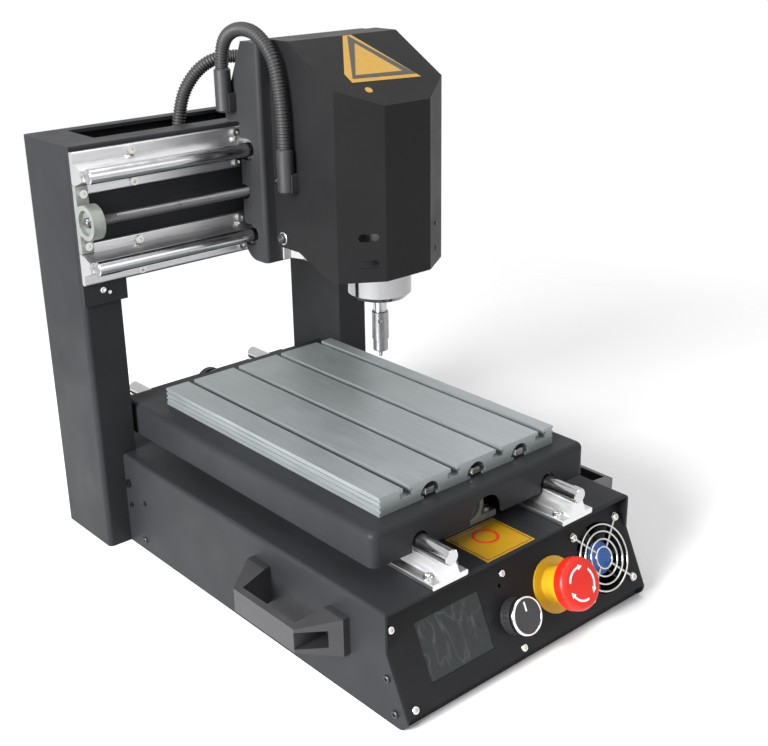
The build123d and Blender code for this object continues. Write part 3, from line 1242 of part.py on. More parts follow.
CARRIAGE_LEFT = HEAD_X - CARRIAGE_W / 2
with BuildPart() as x_carriage:
    with BuildSketch(flank(HEAD_X)):
        with BuildLine():
            Polyline((CARRIAGE_FACE, CARRIAGE_Z), (CARRIAGE_REAR, CARRIAGE_Z), (CARRIAGE_REAR, CARRIAGE_CROWN_Z),
                     (CARRIAGE_CROWN_REAR, CARRIAGE_CROWN_Z), (CARRIAGE_CROWN_REAR, CARRIAGE_CROWN_Z + CARRIAGE_CROWN_STEP),
                     (CARRIAGE_TOP_REAR, CARRIAGE_TOP), (CARRIAGE_FACE, CARRIAGE_TOP), close=True)
        make_face()
    extrude(amount=CARRIAGE_W / 2, both=True)
    toe = x_carriage.edges().filter_by(Axis.X).group_by(Axis.Z)[0].sort_by(Axis.Y)[-1]
    fillet(toe, CARRIAGE_TOE_R)
    fillet(x_carriage.edges().filter_by(Axis.Z).group_by(Axis.Y)[0], CARRIAGE_EDGE_R)
    with BuildSketch(flank(HEAD_X)):
        with Locations(((CARRIAGE_BACK + 140) / 2, (CARRIAGE_Z + CARRIAGE_TOP) / 2 - CARRIAGE_SHEET)):
            Rectangle(140 - CARRIAGE_BACK, CARRIAGE_TOP - CARRIAGE_Z)
    extrude(amount=CARRIAGE_W / 2 - CARRIAGE_SHEET, both=True, mode=Mode.SUBTRACT)
    with BuildSketch(flank(HEAD_X)):
        with Locations((X_SHAFT_Y, X_RAIL_LOW_Z), (X_SHAFT_Y, X_RAIL_HIGH_Z)):
            Circle(CARRIAGE_NOTCH)
        with Locations((X_SHAFT_Y + 15, X_RAIL_LOW_Z), (X_SHAFT_Y + 15, X_RAIL_HIGH_Z)):
            Rectangle(30, 2 * CARRIAGE_NOTCH)
        with Locations((X_SCREW_Y, X_SCREW_Z)):
            Circle(LEAD_R + 2)
        with Locations((X_SCREW_Y + 10, X_SCREW_Z)):
            Rectangle(20, 2 * LEAD_R + 4)
    extrude(amount=CARRIAGE_W, both=True, mode=Mode.SUBTRACT)
    for foot in Z_FEET:
        with BuildSketch(flat_of(foot)):
            with Locations(*Z_SCREW_POINTS):
                Circle(SCREW_HOLE_R)
        extrude(amount=-CARRIAGE_SHEET - 1, mode=Mode.SUBTRACT)
x_carriage.part.label = "x_carriage"
export_step(x_carriage.part, "parts/x_carriage.step")

with BuildPart() as x_blocks:
    for foot in X_FEET:
        for centre in (HEAD_X - X_BLOCK_PITCH / 2, HEAD_X + X_BLOCK_PITCH / 2):
            add(bearing_block(foot, centre - BLOCK_L / 2 - foot.origin.X))
x_blocks.part.label = "x_blocks"
export_step(x_blocks.part, "parts/x_blocks.step")

with BuildPart() as x_nut:
    with BuildSketch(flank(HEAD_X)):
        with Locations(((CARRIAGE_BACK + X_SCREW_Y + 8) / 2, X_SCREW_Z)):
            Rectangle(X_SCREW_Y + 8 - CARRIAGE_BACK, NUT_W)
        with Locations((X_SCREW_Y, X_SCREW_Z)):
            Circle(LEAD_R + RUN_FIT, mode=Mode.SUBTRACT)
    extrude(amount=NUT_T / 2, both=True)
x_nut.part.label = "x_nut"
export_step(x_nut.part, "parts/x_nut.step")

with BuildPart() as z_supports:
    for foot in Z_FEET:
        add(rail_support(foot, Z_RAIL_L, Z_SCREW_POINTS))
z_supports.part.label = "z_supports"
export_step(z_supports.part, "parts/z_supports.step")

with BuildPart() as z_shafts:
    for side in (-1, 1):
        end = Plane(origin=(HEAD_X + side * Z_RAIL_PITCH / 2, Z_SHAFT_Y, Z_RAIL_BOTTOM), z_dir=(0, 0, 1))
        add(round_bar(end, SHAFT_R, Z_RAIL_L))
z_shafts.part.label = "z_shafts"
export_step(z_shafts.part, "parts/z_shafts.step")

with BuildPart() as z_rail_screws:
    for foot in Z_FEET:
        add(socket_screws(flat_of(foot).offset(RAIL_FOOT), Z_SCREW_POINTS, RAIL_SCREW_HEAD_R, RAIL_SCREW_HEAD,
                          RAIL_SCREW_R, RAIL_FOOT + SHEET))
z_rail_screws.part.label = "z_rail_screws"
export_step(z_rail_screws.part, "parts/z_rail_screws.step")

with BuildPart() as z_nut:
    with BuildSketch(Plane.XY.offset(Z_NUT_Z - Z_NUT_T / 2)):
        with Locations((HEAD_X, (CARRIAGE_FACE + Z_SCREW_Y - 8) / 2)):
            Rectangle(Z_NUT_W, CARRIAGE_FACE - Z_SCREW_Y + 8)
        with Locations((HEAD_X, Z_SCREW_Y)):
            Circle(LEAD_R + RUN_FIT, mode=Mode.SUBTRACT)
    extrude(amount=Z_NUT_T)
z_nut.part.label = "z_nut"
export_step(z_nut.part, "parts/z_nut.step")

with BuildPart() as carriage_glands:
    add(elbow(Plane(origin=(CARRIAGE_LEFT - ELBOW_R, CARRIAGE_ELBOW_Y, CARRIAGE_ELBOW_Z)), 1))
    split(bisect_by=Plane(origin=(CARRIAGE_LEFT, 0, 0), z_dir=(-1, 0, 0)))
    with BuildSketch(Plane(origin=(CARRIAGE_GLAND_X, CARRIAGE_BACK, CARRIAGE_GLAND_Z), z_dir=(0, 1, 0))):
        Circle(GLAND_R)
    extrude(amount=GLAND_H)
carriage_glands.part.label = "carriage_glands"
export_step(carriage_glands.part, "parts/carriage_glands.step")


# Spindle head

with BuildPart() as head_plate:
    with BuildSketch(station(SLIDE_FACE)):
        with Locations((HEAD_X, (SLIDE_BOTTOM + Z_MOTOR_BASE) / 2)):
            Rectangle(SLIDE_W, Z_MOTOR_BASE - SLIDE_BOTTOM)
    extrude(amount=-SLIDE_T)
    with BuildSketch(Plane.XY.offset(SHELF_Z)):
        with Locations((HEAD_X, (SLIDE_BACK + Z_SCREW_Y + Z_MOTOR_W / 2) / 2)):
            Rectangle(SHELF_W, Z_SCREW_Y + Z_MOTOR_W / 2 - SLIDE_BACK)
        with Locations((HEAD_X, Z_SCREW_Y)):
            Circle(MOTOR_PILOT_R + SCREW_SLACK, mode=Mode.SUBTRACT)
    extrude(amount=SHELF_T)
    for side in (-1, 1):
        with BuildSketch(flank(HEAD_X + side * SLIDE_W / 2)):
            with Locations(((SLIDE_BACK + SLIDE_REAR) / 2, (SLIDE_BOTTOM + SLIDE_CHEEK_TOP) / 2)):
                Rectangle(SLIDE_REAR - SLIDE_BACK, SLIDE_CHEEK_TOP - SLIDE_BOTTOM)
            with Locations(*HOOD_SCREWS):
                Circle(PANEL_SCREW_R + SCREW_SLACK, mode=Mode.SUBTRACT)
        extrude(amount=-side * SLIDE_CHEEK_T)
head_plate.part.label = "head_plate"
export_step(head_plate.part, "parts/head_plate.step")

with BuildPart() as z_blocks:
    for foot in Z_FEET:
        for centre in (Z_BLOCK_MID - Z_BLOCK_PITCH / 2, Z_BLOCK_MID + Z_BLOCK_PITCH / 2):
            add(bearing_block(foot, foot.origin.Z - centre - BLOCK_L / 2))
z_blocks.part.label = "z_blocks"
export_step(z_blocks.part, "parts/z_blocks.step")

with BuildPart() as z_motor:
    add(stepping_motor(Plane(origin=(HEAD_X, Z_SCREW_Y, Z_MOTOR_BASE)), Z_MOTOR_W, Z_MOTOR_L))
z_motor.part.label = "z_motor"
export_step(z_motor.part, "parts/z_motor.step")

with BuildPart() as z_screw:
    with BuildSketch(Plane(origin=(HEAD_X, Z_SCREW_Y, Z_SCREW_BOTTOM))):
        Circle(LEAD_R)
    extrude(amount=Z_MOTOR_BASE + MOTOR_SCREW_END - 2 - Z_SCREW_BOTTOM)
z_screw.part.label = "z_screw"
export_step(z_screw.part, "parts/z_screw.step")

with BuildPart() as spindle_clamp:
    with BuildSketch(Plane.XY.offset(CLAMP_BOTTOM)):
        with Locations((HEAD_X, (SLIDE_FACE + SPINDLE_Y) / 2)):
            Rectangle(CLAMP_W, SLIDE_FACE - SPINDLE_Y)
        with Locations((HEAD_X, SPINDLE_Y)):
            Circle(SPINDLE_R + CLAMP_NOSE)
        with Locations((HEAD_X - SPINDLE_R - CLAMP_NOSE, SPINDLE_Y - 7)):
            Rectangle(9, 14)
        with Locations((HEAD_X - SPINDLE_R - CLAMP_NOSE, SPINDLE_Y - 7)):
            Rectangle(2 * CLAMP_NOSE + 12, CLAMP_SLIT, mode=Mode.SUBTRACT)
        with Locations((HEAD_X, SPINDLE_Y)):
            Circle(SPINDLE_R, mode=Mode.SUBTRACT)
        with Locations((HEAD_X, SLIDE_FACE + SPINDLE_R)):
            Rectangle(CLAMP_W, 2 * SPINDLE_R, mode=Mode.SUBTRACT)
    extrude(amount=CLAMP_TOP - CLAMP_BOTTOM)
spindle_clamp.part.label = "spindle_clamp"
export_step(spindle_clamp.part, "parts/spindle_clamp.step")

SPINDLE_AXIS = (HEAD_X, SPINDLE_Y, 0)
with BuildPart() as spindle_body:
    with BuildSketch(Plane(origin=SPINDLE_AXIS).offset(SPINDLE_SHOULDER)):
        Circle(SPINDLE_R)
        Circle(ROTOR_R + RUN_FIT, mode=Mode.SUBTRACT)
    extrude(amount=SPINDLE_TOP - SPINDLE_SHOULDER)
    with BuildSketch(Plane(origin=SPINDLE_AXIS).offset(ROTOR_TOP + 1)):
        Circle(SPINDLE_R)
    extrude(amount=SPINDLE_TOP - ROTOR_TOP - 1)
spindle_body.part.label = "spindle_body"
export_step(spindle_body.part, "parts/spindle_body.step")

with BuildPart() as spindle_cap:
    with BuildSketch(Plane(origin=SPINDLE_AXIS).offset(CAP_BOTTOM)):
        Circle(CAP_R)
    extrude(amount=SPINDLE_SHOULDER - CAP_BOTTOM)
    chamfer(spindle_cap.faces().sort_by(Axis.Z)[0].edges(), CAP_BEVEL)
    with BuildSketch(Plane(origin=SPINDLE_AXIS).offset(CAP_BOTTOM)):
        Circle(ROTOR_R + RUN_FIT)
    extrude(amount=SPINDLE_SHOULDER - CAP_BOTTOM, mode=Mode.SUBTRACT)
spindle_cap.part.label = "spindle_cap"
export_step(spindle_cap.part, "parts/spindle_cap.step")

with BuildPart() as spindle_shaft:
    with BuildSketch(Plane(origin=SPINDLE_AXIS).offset(HOLDER_TOP)):
        Circle(ROTOR_R)
    extrude(amount=ROTOR_TOP - HOLDER_TOP)
spindle_shaft.part.label = "spindle_shaft"
export_step(spindle_shaft.part, "parts/spindle_shaft.step")

with BuildPart() as tool_holder:
    with BuildSketch(Plane(origin=SPINDLE_AXIS).offset(HOLDER_STEP)):
        Circle(HOLDER_R)
    extrude(amount=HOLDER_TOP - HOLDER_STEP)
    with BuildSketch(Plane(origin=SPINDLE_AXIS).offset(HOLDER_BOTTOM)):
        Circle(HOLDER_NOSE_R)
    extrude(amount=HOLDER_STEP - HOLDER_BOTTOM)
    chamfer(tool_holder.faces().sort_by(Axis.Z)[0].edges(), 0.8)
    chamfer(tool_holder.faces().sort_by(Axis.Z)[-1].edges(), 0.8)
    with BuildSketch(Plane(origin=SPINDLE_AXIS).offset(HOLDER_BOTTOM)):
        Circle(CUTTER_R)
    extrude(amount=CUTTER_SOCKET, mode=Mode.SUBTRACT)
    with BuildSketch(Plane(origin=(HEAD_X, SPINDLE_Y, GRUB_HOLE_Z), x_dir=(0, 0, 1),
                           z_dir=(-1, -1, 0)).offset(GRUB_HOLE_FLOOR)):
        Circle(GRUB_HOLE_R)
    extrude(amount=HOLDER_R, mode=Mode.SUBTRACT)
tool_holder.part.label = "tool_holder"
export_step(tool_holder.part, "parts/tool_holder.step")

with BuildPart() as cutter:
    with BuildSketch(Plane(origin=SPINDLE_AXIS).offset(CUTTER_TIP)):
        Circle(CUTTER_R)
    extrude(amount=HOLDER_BOTTOM + CUTTER_SOCKET - CUTTER_TIP)
    chamfer(cutter.faces().sort_by(Axis.Z)[0].edges(), 0.8)
cutter.part.label = "cutter"
export_step(cutter.part, "parts/cutter.step")


def hood_form(inset, rear, bottom):
    """Outline of the hood, drawn in by a wall and run on past its open back and bottom."""
    run = HOOD_SIDE_FRONT - HOOD_FRONT
    rise = (HOOD_W - HOOD_FRONT_W) / 2
    size = hypot(run, rise)
    nx, ny = run / size, -rise / size
    reach = nx * HOOD_FRONT_W / 2 + ny * HOOD_FRONT - inset
    front = HOOD_FRONT + inset
    half = HOOD_W / 2 - inset
    corner_x = (reach - ny * front) / nx
    corner_y = (reach - nx * half) / ny
    fall = HOOD_TOP - HOOD_BROW_Z
    depth = HOOD_BROW_Y - HOOD_FRONT
    slope = hypot(fall, depth)
    my, mz = -fall / slope, depth / slope
    level = my * HOOD_BROW_Y + mz * HOOD_TOP - inset
    top = HOOD_TOP - inset
    brow = (level - mz * top) / my
    peak = (level - my * (HOOD_FRONT - 2)) / mz
    with BuildPart() as form:
        with BuildSketch(Plane.XY):
            with BuildLine():
                Polyline((HEAD_X - half, rear), (HEAD_X - half, corner_y), (HEAD_X - corner_x, front),
                         (HEAD_X + corner_x, front), (HEAD_X + half, corner_y), (HEAD_X + half, rear), close=True)
            make_face()
        extrude(amount=HOOD_TOP + 5)
        with BuildSketch(flank(HEAD_X)):
            with BuildLine():
                if bottom:
                    Polyline((rear + 1, HOOD_HEEL_Z), (rear + 1, top), (brow, top), (HOOD_FRONT - 2, peak),
                             (HOOD_FRONT - 2, HOOD_BOTTOM), (HOOD_TOE_Y, HOOD_BOTTOM), (HOOD_HEEL_Y, HOOD_HEEL_Z),
                             close=True)
                else:
                    Polyline((rear + 1, HOOD_BOTTOM - 5), (rear + 1, top), (brow, top), (HOOD_FRONT - 2, peak),
                             (HOOD_FRONT - 2, HOOD_BOTTOM - 5), close=True)
            make_face()
        extrude(amount=HOOD_W, both=True, mode=Mode.INTERSECT)
    return form.part


VENT_DIR = Vector(HOOD_FRONT_W / 2 - HOOD_W / 2, HOOD_FRONT - HOOD_SIDE_FRONT, 0).normalized()
VENT_PLANE = Plane(
    origin=(HEAD_X - HOOD_FRONT_W / 2 - (HOOD_W - HOOD_FRONT_W) / 4, (HOOD_FRONT + HOOD_SIDE_FRONT) / 2, 0),
    x_dir=(-VENT_DIR.X, VENT_DIR.Y, 0), z_dir=(VENT_DIR.Y, VENT_DIR.X, 0))
with BuildPart() as head_hood:
    add(hood_form(0, HOOD_REAR, True))
    fillet(head_hood.edges().filter_by(Axis.Z).group_by(Axis.Y)[0], HOOD_EDGE_R)
    add(hood_form(HOOD_WALL, HOOD_REAR + 2, False), mode=Mode.SUBTRACT)
    with BuildSketch(VENT_PLANE):
        with Locations(*[(VENT_SHIFT, z) for z in VENT_ZS]):
            SlotOverall(VENT_L, VENT_H)
    extrude(amount=-5, both=True, mode=Mode.SUBTRACT)
    for side in (-1, 1):
        with BuildSketch(flank(HEAD_X + side * HOOD_W / 2)):
            with Locations(*HOOD_SCREWS):
                Circle(PANEL_SCREW_R + SCREW_SLACK)
        extrude(amount=-side * 3, mode=Mode.SUBTRACT)
head_hood.part.label = "head_hood"
export_step(head_hood.part, "parts/head_hood.step")

HOOD_LEFT = HEAD_X - HOOD_W / 2
with BuildPart() as hood_elbow:
    add(elbow(Plane(origin=(HOOD_LEFT - ELBOW_R, HEAD_ELBOW_Y, HEAD_ELBOW_Z)), 1))
    split(bisect_by=Plane(origin=(HOOD_LEFT, 0, 0), z_dir=(-1, 0, 0)))
hood_elbow.part.label = "hood_elbow"
export_step(hood_elbow.part, "parts/hood_elbow.step")


def hose(points):
    """Round hose along straight runs joined by wide bends."""
    runs = [Vector(*b) - Vector(*a) for a, b in zip(points[:-1], points[1:])]
    radius = min(0.45 * min(a.length, b.length) / tan(a.get_angle(b) * 3.14159265 / 360)
                 for a, b in zip(runs[:-1], runs[1:]))
    with BuildPart() as tube:
        with BuildLine() as route:
            FilletPolyline(*points, radius=radius)
        with BuildSketch(Plane(origin=points[0], z_dir=runs[0])):
            Circle(HOSE_R)
        sweep(path=route.wire())
    return tube.part


HEAD_HOSE_X = HOOD_LEFT - ELBOW_R
REAR_HOSE_X = CARRIAGE_LEFT - ELBOW_R
REAR_ELBOW_TOP = CARRIAGE_ELBOW_Z + ELBOW_H
with BuildPart() as hose_head:
    add(hose([(HEAD_HOSE_X, HEAD_ELBOW_Y, HEAD_ELBOW_Z + ELBOW_H),
              (HEAD_HOSE_X, HEAD_ELBOW_Y, REAR_ELBOW_TOP - 1),
              (HEAD_HOSE_X - 2, 72, REAR_ELBOW_TOP + 30),
              (REAR_HOSE_X + 2, 100, REAR_ELBOW_TOP + 34),
              (REAR_HOSE_X, CARRIAGE_ELBOW_Y, REAR_ELBOW_TOP + 20),
              (REAR_HOSE_X, CARRIAGE_ELBOW_Y, REAR_ELBOW_TOP)]))
hose_head.part.label = "hose_head"
export_step(hose_head.part, "parts/hose_head.step")

with BuildPart() as hose_beam:
    add(hose([(BEAM_GLAND_X, BEAM_GLAND_Y, BEAM_BOTTOM + BEAM_SHEET + GLAND_H),
              (BEAM_GLAND_X, BEAM_GLAND_Y, CARRIAGE_GLAND_Z - 48),
              (BEAM_GLAND_X + 28, BEAM_GLAND_Y - 6, CARRIAGE_GLAND_Z - 2),
              (CARRIAGE_GLAND_X, BEAM_GLAND_Y - 22, CARRIAGE_GLAND_Z),
              (CARRIAGE_GLAND_X, CARRIAGE_BACK + GLAND_H, CARRIAGE_GLAND_Z)]))
hose_beam.part.label = "hose_beam"
export_step(hose_beam.part, "parts/hose_beam.step")
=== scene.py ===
"""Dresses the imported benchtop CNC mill: finishes, hoses, screw threads, labels, trim, light and camera.

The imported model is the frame. Its nodes keep their shapes and get procedural finishes. The two hoses and
the two lead screws in sight are worked out here as surfaces and stand for their plain nodes.
"""
from __future__ import annotations

import logging
import math
from dataclasses import dataclass, field
from enum import Enum
from typing import Any

import bpy
import numpy as np
from mathutils import Matrix

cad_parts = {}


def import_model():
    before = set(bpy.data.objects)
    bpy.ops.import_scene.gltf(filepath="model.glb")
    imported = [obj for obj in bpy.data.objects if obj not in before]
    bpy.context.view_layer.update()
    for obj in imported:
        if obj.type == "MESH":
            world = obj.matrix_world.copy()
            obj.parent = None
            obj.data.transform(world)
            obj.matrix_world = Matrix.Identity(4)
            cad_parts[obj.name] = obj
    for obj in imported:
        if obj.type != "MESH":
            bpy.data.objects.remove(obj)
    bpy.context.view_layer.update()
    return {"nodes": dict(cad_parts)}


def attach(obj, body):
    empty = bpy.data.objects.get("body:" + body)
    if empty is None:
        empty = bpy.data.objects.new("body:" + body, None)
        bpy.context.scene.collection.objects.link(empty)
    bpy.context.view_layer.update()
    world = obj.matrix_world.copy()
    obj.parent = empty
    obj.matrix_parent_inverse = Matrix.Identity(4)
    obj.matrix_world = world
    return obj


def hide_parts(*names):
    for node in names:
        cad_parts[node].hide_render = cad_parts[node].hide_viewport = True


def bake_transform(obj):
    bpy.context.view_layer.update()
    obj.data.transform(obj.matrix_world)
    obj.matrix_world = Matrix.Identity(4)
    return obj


log = logging.getLogger("mill")

Colour = tuple[float, float, float]
Point = tuple[float, float, float]
Places = tuple[tuple[float, float], ...]
ACROSS: Point = (1.0, 0.0, 0.0)
UP: Point = (0.0, 0.0, 1.0)
MM = 0.001
INK_THICK = 0.25 * MM


class Along(Enum):
    """Row axis that a drawn or ground surface's lines follow."""

    X = (0.02, 1.0, 1.0)
    Y = (1.0, 0.02, 1.0)
    Z = (1.0, 1.0, 0.02)


class NodeGraph:
    """Node tree of one material, with the few building blocks that the finishes share."""

    def __init__(self, name: str) -> None:
        """Starts an empty material with a Principled shader and Object coordinates.

        Args:
            name: the material's name.
        """
        self.material = bpy.data.materials.new(name)
        self.material.use_nodes = True
        self.tree = self.material.node_tree
        self.tree.nodes.clear()
        self.output = self.tree.nodes.new("ShaderNodeOutputMaterial")
        self.shader = self.tree.nodes.new("ShaderNodeBsdfPrincipled")
        self.link(self.shader.outputs["BSDF"], self.output.inputs["Surface"])
        self.coords = self.tree.nodes.new("ShaderNodeTexCoord").outputs["Object"]

    def link(self, source: Any, target: Any) -> None:
        """Joins an output socket to an input socket."""
        self.tree.links.new(source, target)

    def set(self, **values: float | tuple) -> None:
        """Sets shader sockets by name, with underscores for spaces.

        Args:
            values: socket name to its value.
        """
        for key, value in values.items():
            self.shader.inputs[key.replace("_", " ")].default_value = value

    def stretched(self, scale: Point, turn: Point = (0, 0, 0)) -> Any:
        """Object coordinates scaled per axis, so that a pattern is drawn out along one of them.

        Args:
            scale: factor on each row axis.
            turn: turn about each row axis, in radians.

        Returns:
            The mapped vector socket.
        """
        mapping = self.tree.nodes.new("ShaderNodeMapping")
        mapping.inputs["Scale"].default_value = scale
        mapping.inputs["Rotation"].default_value = turn
        self.link(self.coords, mapping.inputs["Vector"])
        return mapping.outputs["Vector"]

    def noise(self, scale: float, detail: float = 3.0, vector: Any = None, rough: float = 0.5) -> Any:
        """Fractal noise on the object, as a factor from 0 to 1.

        Args:
            scale: features per metre.
            detail: octaves.
            vector: coordinates, or None for plain Object coordinates.
            rough: weight of the finer octaves.

        Returns:
            The factor socket.
        """
        node = self.tree.nodes.new("ShaderNodeTexNoise")
        node.inputs["Scale"].default_value = scale
        node.inputs["Detail"].default_value = detail
        node.inputs["Roughness"].default_value = rough
        self.link(vector or self.coords, node.inputs["Vector"])
        return node.outputs["Fac"]

    def spread(self, factor: Any, low: float, high: float, start: float = 0.3, end: float = 0.7) -> Any:
        """Maps a factor between two limits onto a range of values.

        Args:
            factor: the input socket.
            low: value at and below start.
            high: value at and above end.
            start: factor that gives low.
            end: factor that gives high.

        Returns:
            The value socket.
        """
        node = self.tree.nodes.new("ShaderNodeMapRange")
        for key, value in (("From Min", start), ("From Max", end), ("To Min", low), ("To Max", high)):
            node.inputs[key].default_value = value
        self.link(factor, node.inputs["Value"])
        return node.outputs["Result"]

    def combined(self, operation: str, first: Any, second: Any) -> Any:
        """Joins two values by one sum or product.

        Args:
            operation: the name of the operation, as the Math node has it.
            first: value socket.
            second: value socket.

        Returns:
            The value socket of the result.
        """
        node = self.tree.nodes.new("ShaderNodeMath")
        node.operation = operation
        self.link(first, node.inputs[0])
        self.link(second, node.inputs[1])
        return node.outputs[0]

    def blend_colour(self, factor: Any, low: Colour, high: Colour) -> Any:
        """Mixes two colours by a factor socket.

        Args:
            factor: 0 gives low and 1 gives high.
            low: linear colour.
            high: linear colour.

        Returns:
            The colour socket.
        """
        node = self.tree.nodes.new("ShaderNodeMix")
        node.data_type = "RGBA"
        self.link(factor, node.inputs[0])
        node.inputs[6].default_value = (*low, 1.0)
        node.inputs[7].default_value = (*high, 1.0)
        return node.outputs[2]

    def bump(self, height: Any, distance: float, strength: float = 1.0, before: Any = None) -> Any:
        """Turns a height into a surface normal.

        Args:
            height: the height socket.
            distance: metres of relief for a height of 1.
            strength: share of the relief that shows.
            before: a normal socket of an earlier bump to build on.

        Returns:
            The normal socket.
        """
        node = self.tree.nodes.new("ShaderNodeBump")
        node.inputs["Distance"].default_value = distance
        node.inputs["Strength"].default_value = strength
        self.link(height, node.inputs["Height"])
        if before is not None:
            self.link(before, node.inputs["Normal"])
        return node.outputs["Normal"]


def shade(colour: Colour, factor: float) -> Colour:
    """Colour times a factor, kept at or below 1."""
    return tuple(min(1.0, c * factor) for c in colour)


@dataclass(frozen=True)
class PowderCoat:
    """Baked paint on sheet steel: a fine pebbled skin with soft dust and rubbed patches."""

    name: str
    colour: Colour = (0.0165, 0.0172, 0.019)
    roughness: float = 0.46
    pebble: float = 1500.0
    relief: float = 0.00009

    def build(self) -> bpy.types.Material:
        """Makes the material: pebbles as bump, dust as slow colour, rubbing as slow roughness."""
        graph = NodeGraph(self.name)
        dust = graph.spread(graph.noise(9.0, 5.0, rough=0.6), 0.0, 1.0, 0.35, 0.75)
        graph.link(graph.blend_colour(dust, shade(self.colour, 0.88), shade(self.colour, 1.22)),
                   graph.shader.inputs["Base Color"])
        grain = graph.noise(self.pebble, 2.0)
        rubbed = graph.noise(26.0, 4.0)
        graph.link(graph.spread(rubbed, self.roughness - 0.05, self.roughness + 0.08),
                   graph.shader.inputs["Roughness"])
        graph.link(graph.bump(grain, self.relief, 0.8), graph.shader.inputs["Normal"])
        graph.set(Specular_IOR_Level=0.13)
        return graph.material


@dataclass(frozen=True)
class DrawnMetal:
    """Extruded or milled metal, with fine lines along one axis and faint stains."""

    name: str
    colour: Colour
    along: Along
    roughness: float = 0.32
    relief: float = 0.00003
    metallic: float = 1.0

    def build(self) -> bpy.types.Material:
        """Makes the material: lines are noise drawn out along the axis, in colour, roughness and bump."""
        graph = NodeGraph(self.name)
        lines = graph.noise(1400.0, 3.0, graph.stretched(self.along.value))
        stain = graph.noise(30.0, 4.0)
        graph.link(graph.blend_colour(graph.spread(lines, 0.0, 1.0), shade(self.colour, 0.86),
                                      shade(self.colour, 1.08)), graph.shader.inputs["Base Color"])
        rough = graph.combined("ADD", graph.spread(lines, self.roughness - 0.05, self.roughness + 0.06),
                               graph.spread(stain, -0.03, 0.06))
        graph.link(rough, graph.shader.inputs["Roughness"])
        graph.link(graph.bump(lines, self.relief, 0.6), graph.shader.inputs["Normal"])
        graph.set(Metallic=self.metallic)
        return graph.material


@dataclass(frozen=True)
class PolishedMetal:
    """Ground and plated steel: bright, with a slow waver in its gloss and fine scratches."""

    name: str
    colour: Colour = (0.78, 0.78, 0.79)
    roughness: float = 0.13
    scratch: float = 900.0

    def build(self) -> bpy.types.Material:
        """Makes the material: scratches are thin noise, the waver is slow noise in the roughness."""
        graph = NodeGraph(self.name)
        waver = graph.noise(60.0, 3.0)
        scratches = graph.noise(self.scratch, 2.0, graph.stretched((1.0, 0.15, 0.15)))
        graph.link(graph.blend_colour(graph.spread(waver, 0.0, 1.0), shade(self.colour, 0.9), self.colour),
                   graph.shader.inputs["Base Color"])
        graph.link(graph.spread(waver, self.roughness * 0.7, self.roughness * 1.6),
                   graph.shader.inputs["Roughness"])
        graph.link(graph.bump(scratches, 0.00001, 0.5), graph.shader.inputs["Normal"])
        graph.set(Metallic=1.0)
        return graph.material


@dataclass(frozen=True)
class CastMetal:
    """Sand-cast or blasted metal: grainy, dull, with a mottled tone."""

    name: str
    colour: Colour = (0.38, 0.38, 0.39)
    roughness: float = 0.5

    def build(self) -> bpy.types.Material:
        """Makes the material: grain is fine noise in bump and colour."""
        graph = NodeGraph(self.name)
        grain = graph.noise(700.0, 4.0, rough=0.65)
        tone = graph.noise(60.0, 3.0)
        graph.link(graph.blend_colour(graph.spread(tone, 0.0, 1.0), shade(self.colour, 0.78),
                                      shade(self.colour, 1.12)), graph.shader.inputs["Base Color"])
        graph.link(graph.spread(grain, self.roughness - 0.1, self.roughness + 0.12),
                   graph.shader.inputs["Roughness"])
        graph.link(graph.bump(grain, 0.00025, 0.7), graph.shader.inputs["Normal"])
        graph.set(Metallic=0.7)
        return graph.material


@dataclass(frozen=True)
class MouldedPlastic:
    """Injection-moulded or printed plastic: an even colour, a spark-eroded skin and a soft gloss."""

    name: str
    colour: Colour
    roughness: float = 0.42
    skin: float = 1800.0
    relief: float = 0.00004
    gloss: float = 0.5

    def build(self) -> bpy.types.Material:
        """Makes the material: the skin is fine noise in bump, handling marks are slow noise in gloss."""
        graph = NodeGraph(self.name)
        skin = graph.noise(self.skin, 2.0)
        marks = graph.noise(45.0, 4.0)
        graph.link(graph.blend_colour(graph.spread(marks, 0.0, 1.0), shade(self.colour, 0.9),
                                      shade(self.colour, 1.08)), graph.shader.inputs["Base Color"])
        graph.link(graph.spread(marks, self.roughness - 0.06, self.roughness + 0.08),
                   graph.shader.inputs["Roughness"])
        graph.link(graph.bump(skin, self.relief, 0.6), graph.shader.inputs["Normal"])
        graph.set(Specular_IOR_Level=self.gloss)
        return graph.material


@dataclass(frozen=True)
class FilmedDisplay:
    """Dark display under a loose protective film; the pale colour along its creases is painted highlight
    where they catch the light.
    """

    name: str
    colour: Colour = (0.014, 0.017, 0.018)
    # colour of the painted highlight along the film's creases
    crease_highlight: Colour = (0.085, 0.09, 0.088)
    crease: float = 55.0
    relief: float = 0.0011

    def build(self) -> bpy.types.Material:
        """Makes the material: creases are ridged noise, in the film's bump and in a pale painted highlight
        along them.
        """
        graph = NodeGraph(self.name)
        folded = graph.noise(self.crease, 2.0, graph.stretched((1.0, 0.45, 0.45), (0.4, 0.5, 0.7)))
        ridge = graph.tree.nodes.new("ShaderNodeMath")
        ridge.operation = "ABSOLUTE"
        graph.link(graph.spread(folded, -1.0, 1.0, 0.25, 0.75), ridge.inputs[0])
        # painted highlight: pale colour along each crease, its strength varying slowly
        crease_highlight = graph.spread(ridge.outputs[0], 1.0, 0.0, 0.0, 0.10)
        highlight_strength = graph.spread(graph.noise(30.0, 3.0), 0.0, 0.5)
        both = graph.combined("MULTIPLY", crease_highlight, highlight_strength)
        graph.link(graph.blend_colour(both, self.colour, self.crease_highlight),
                   graph.shader.inputs["Base Color"])
        film = graph.bump(ridge.outputs[0], self.relief, 0.8)
        graph.link(film, graph.shader.inputs["Normal"])
        graph.link(film, graph.shader.inputs["Coat Normal"])
        graph.set(Roughness=0.30, Specular_IOR_Level=0.2, Coat_Weight=0.4, Coat_Roughness=0.08)
        return graph.material


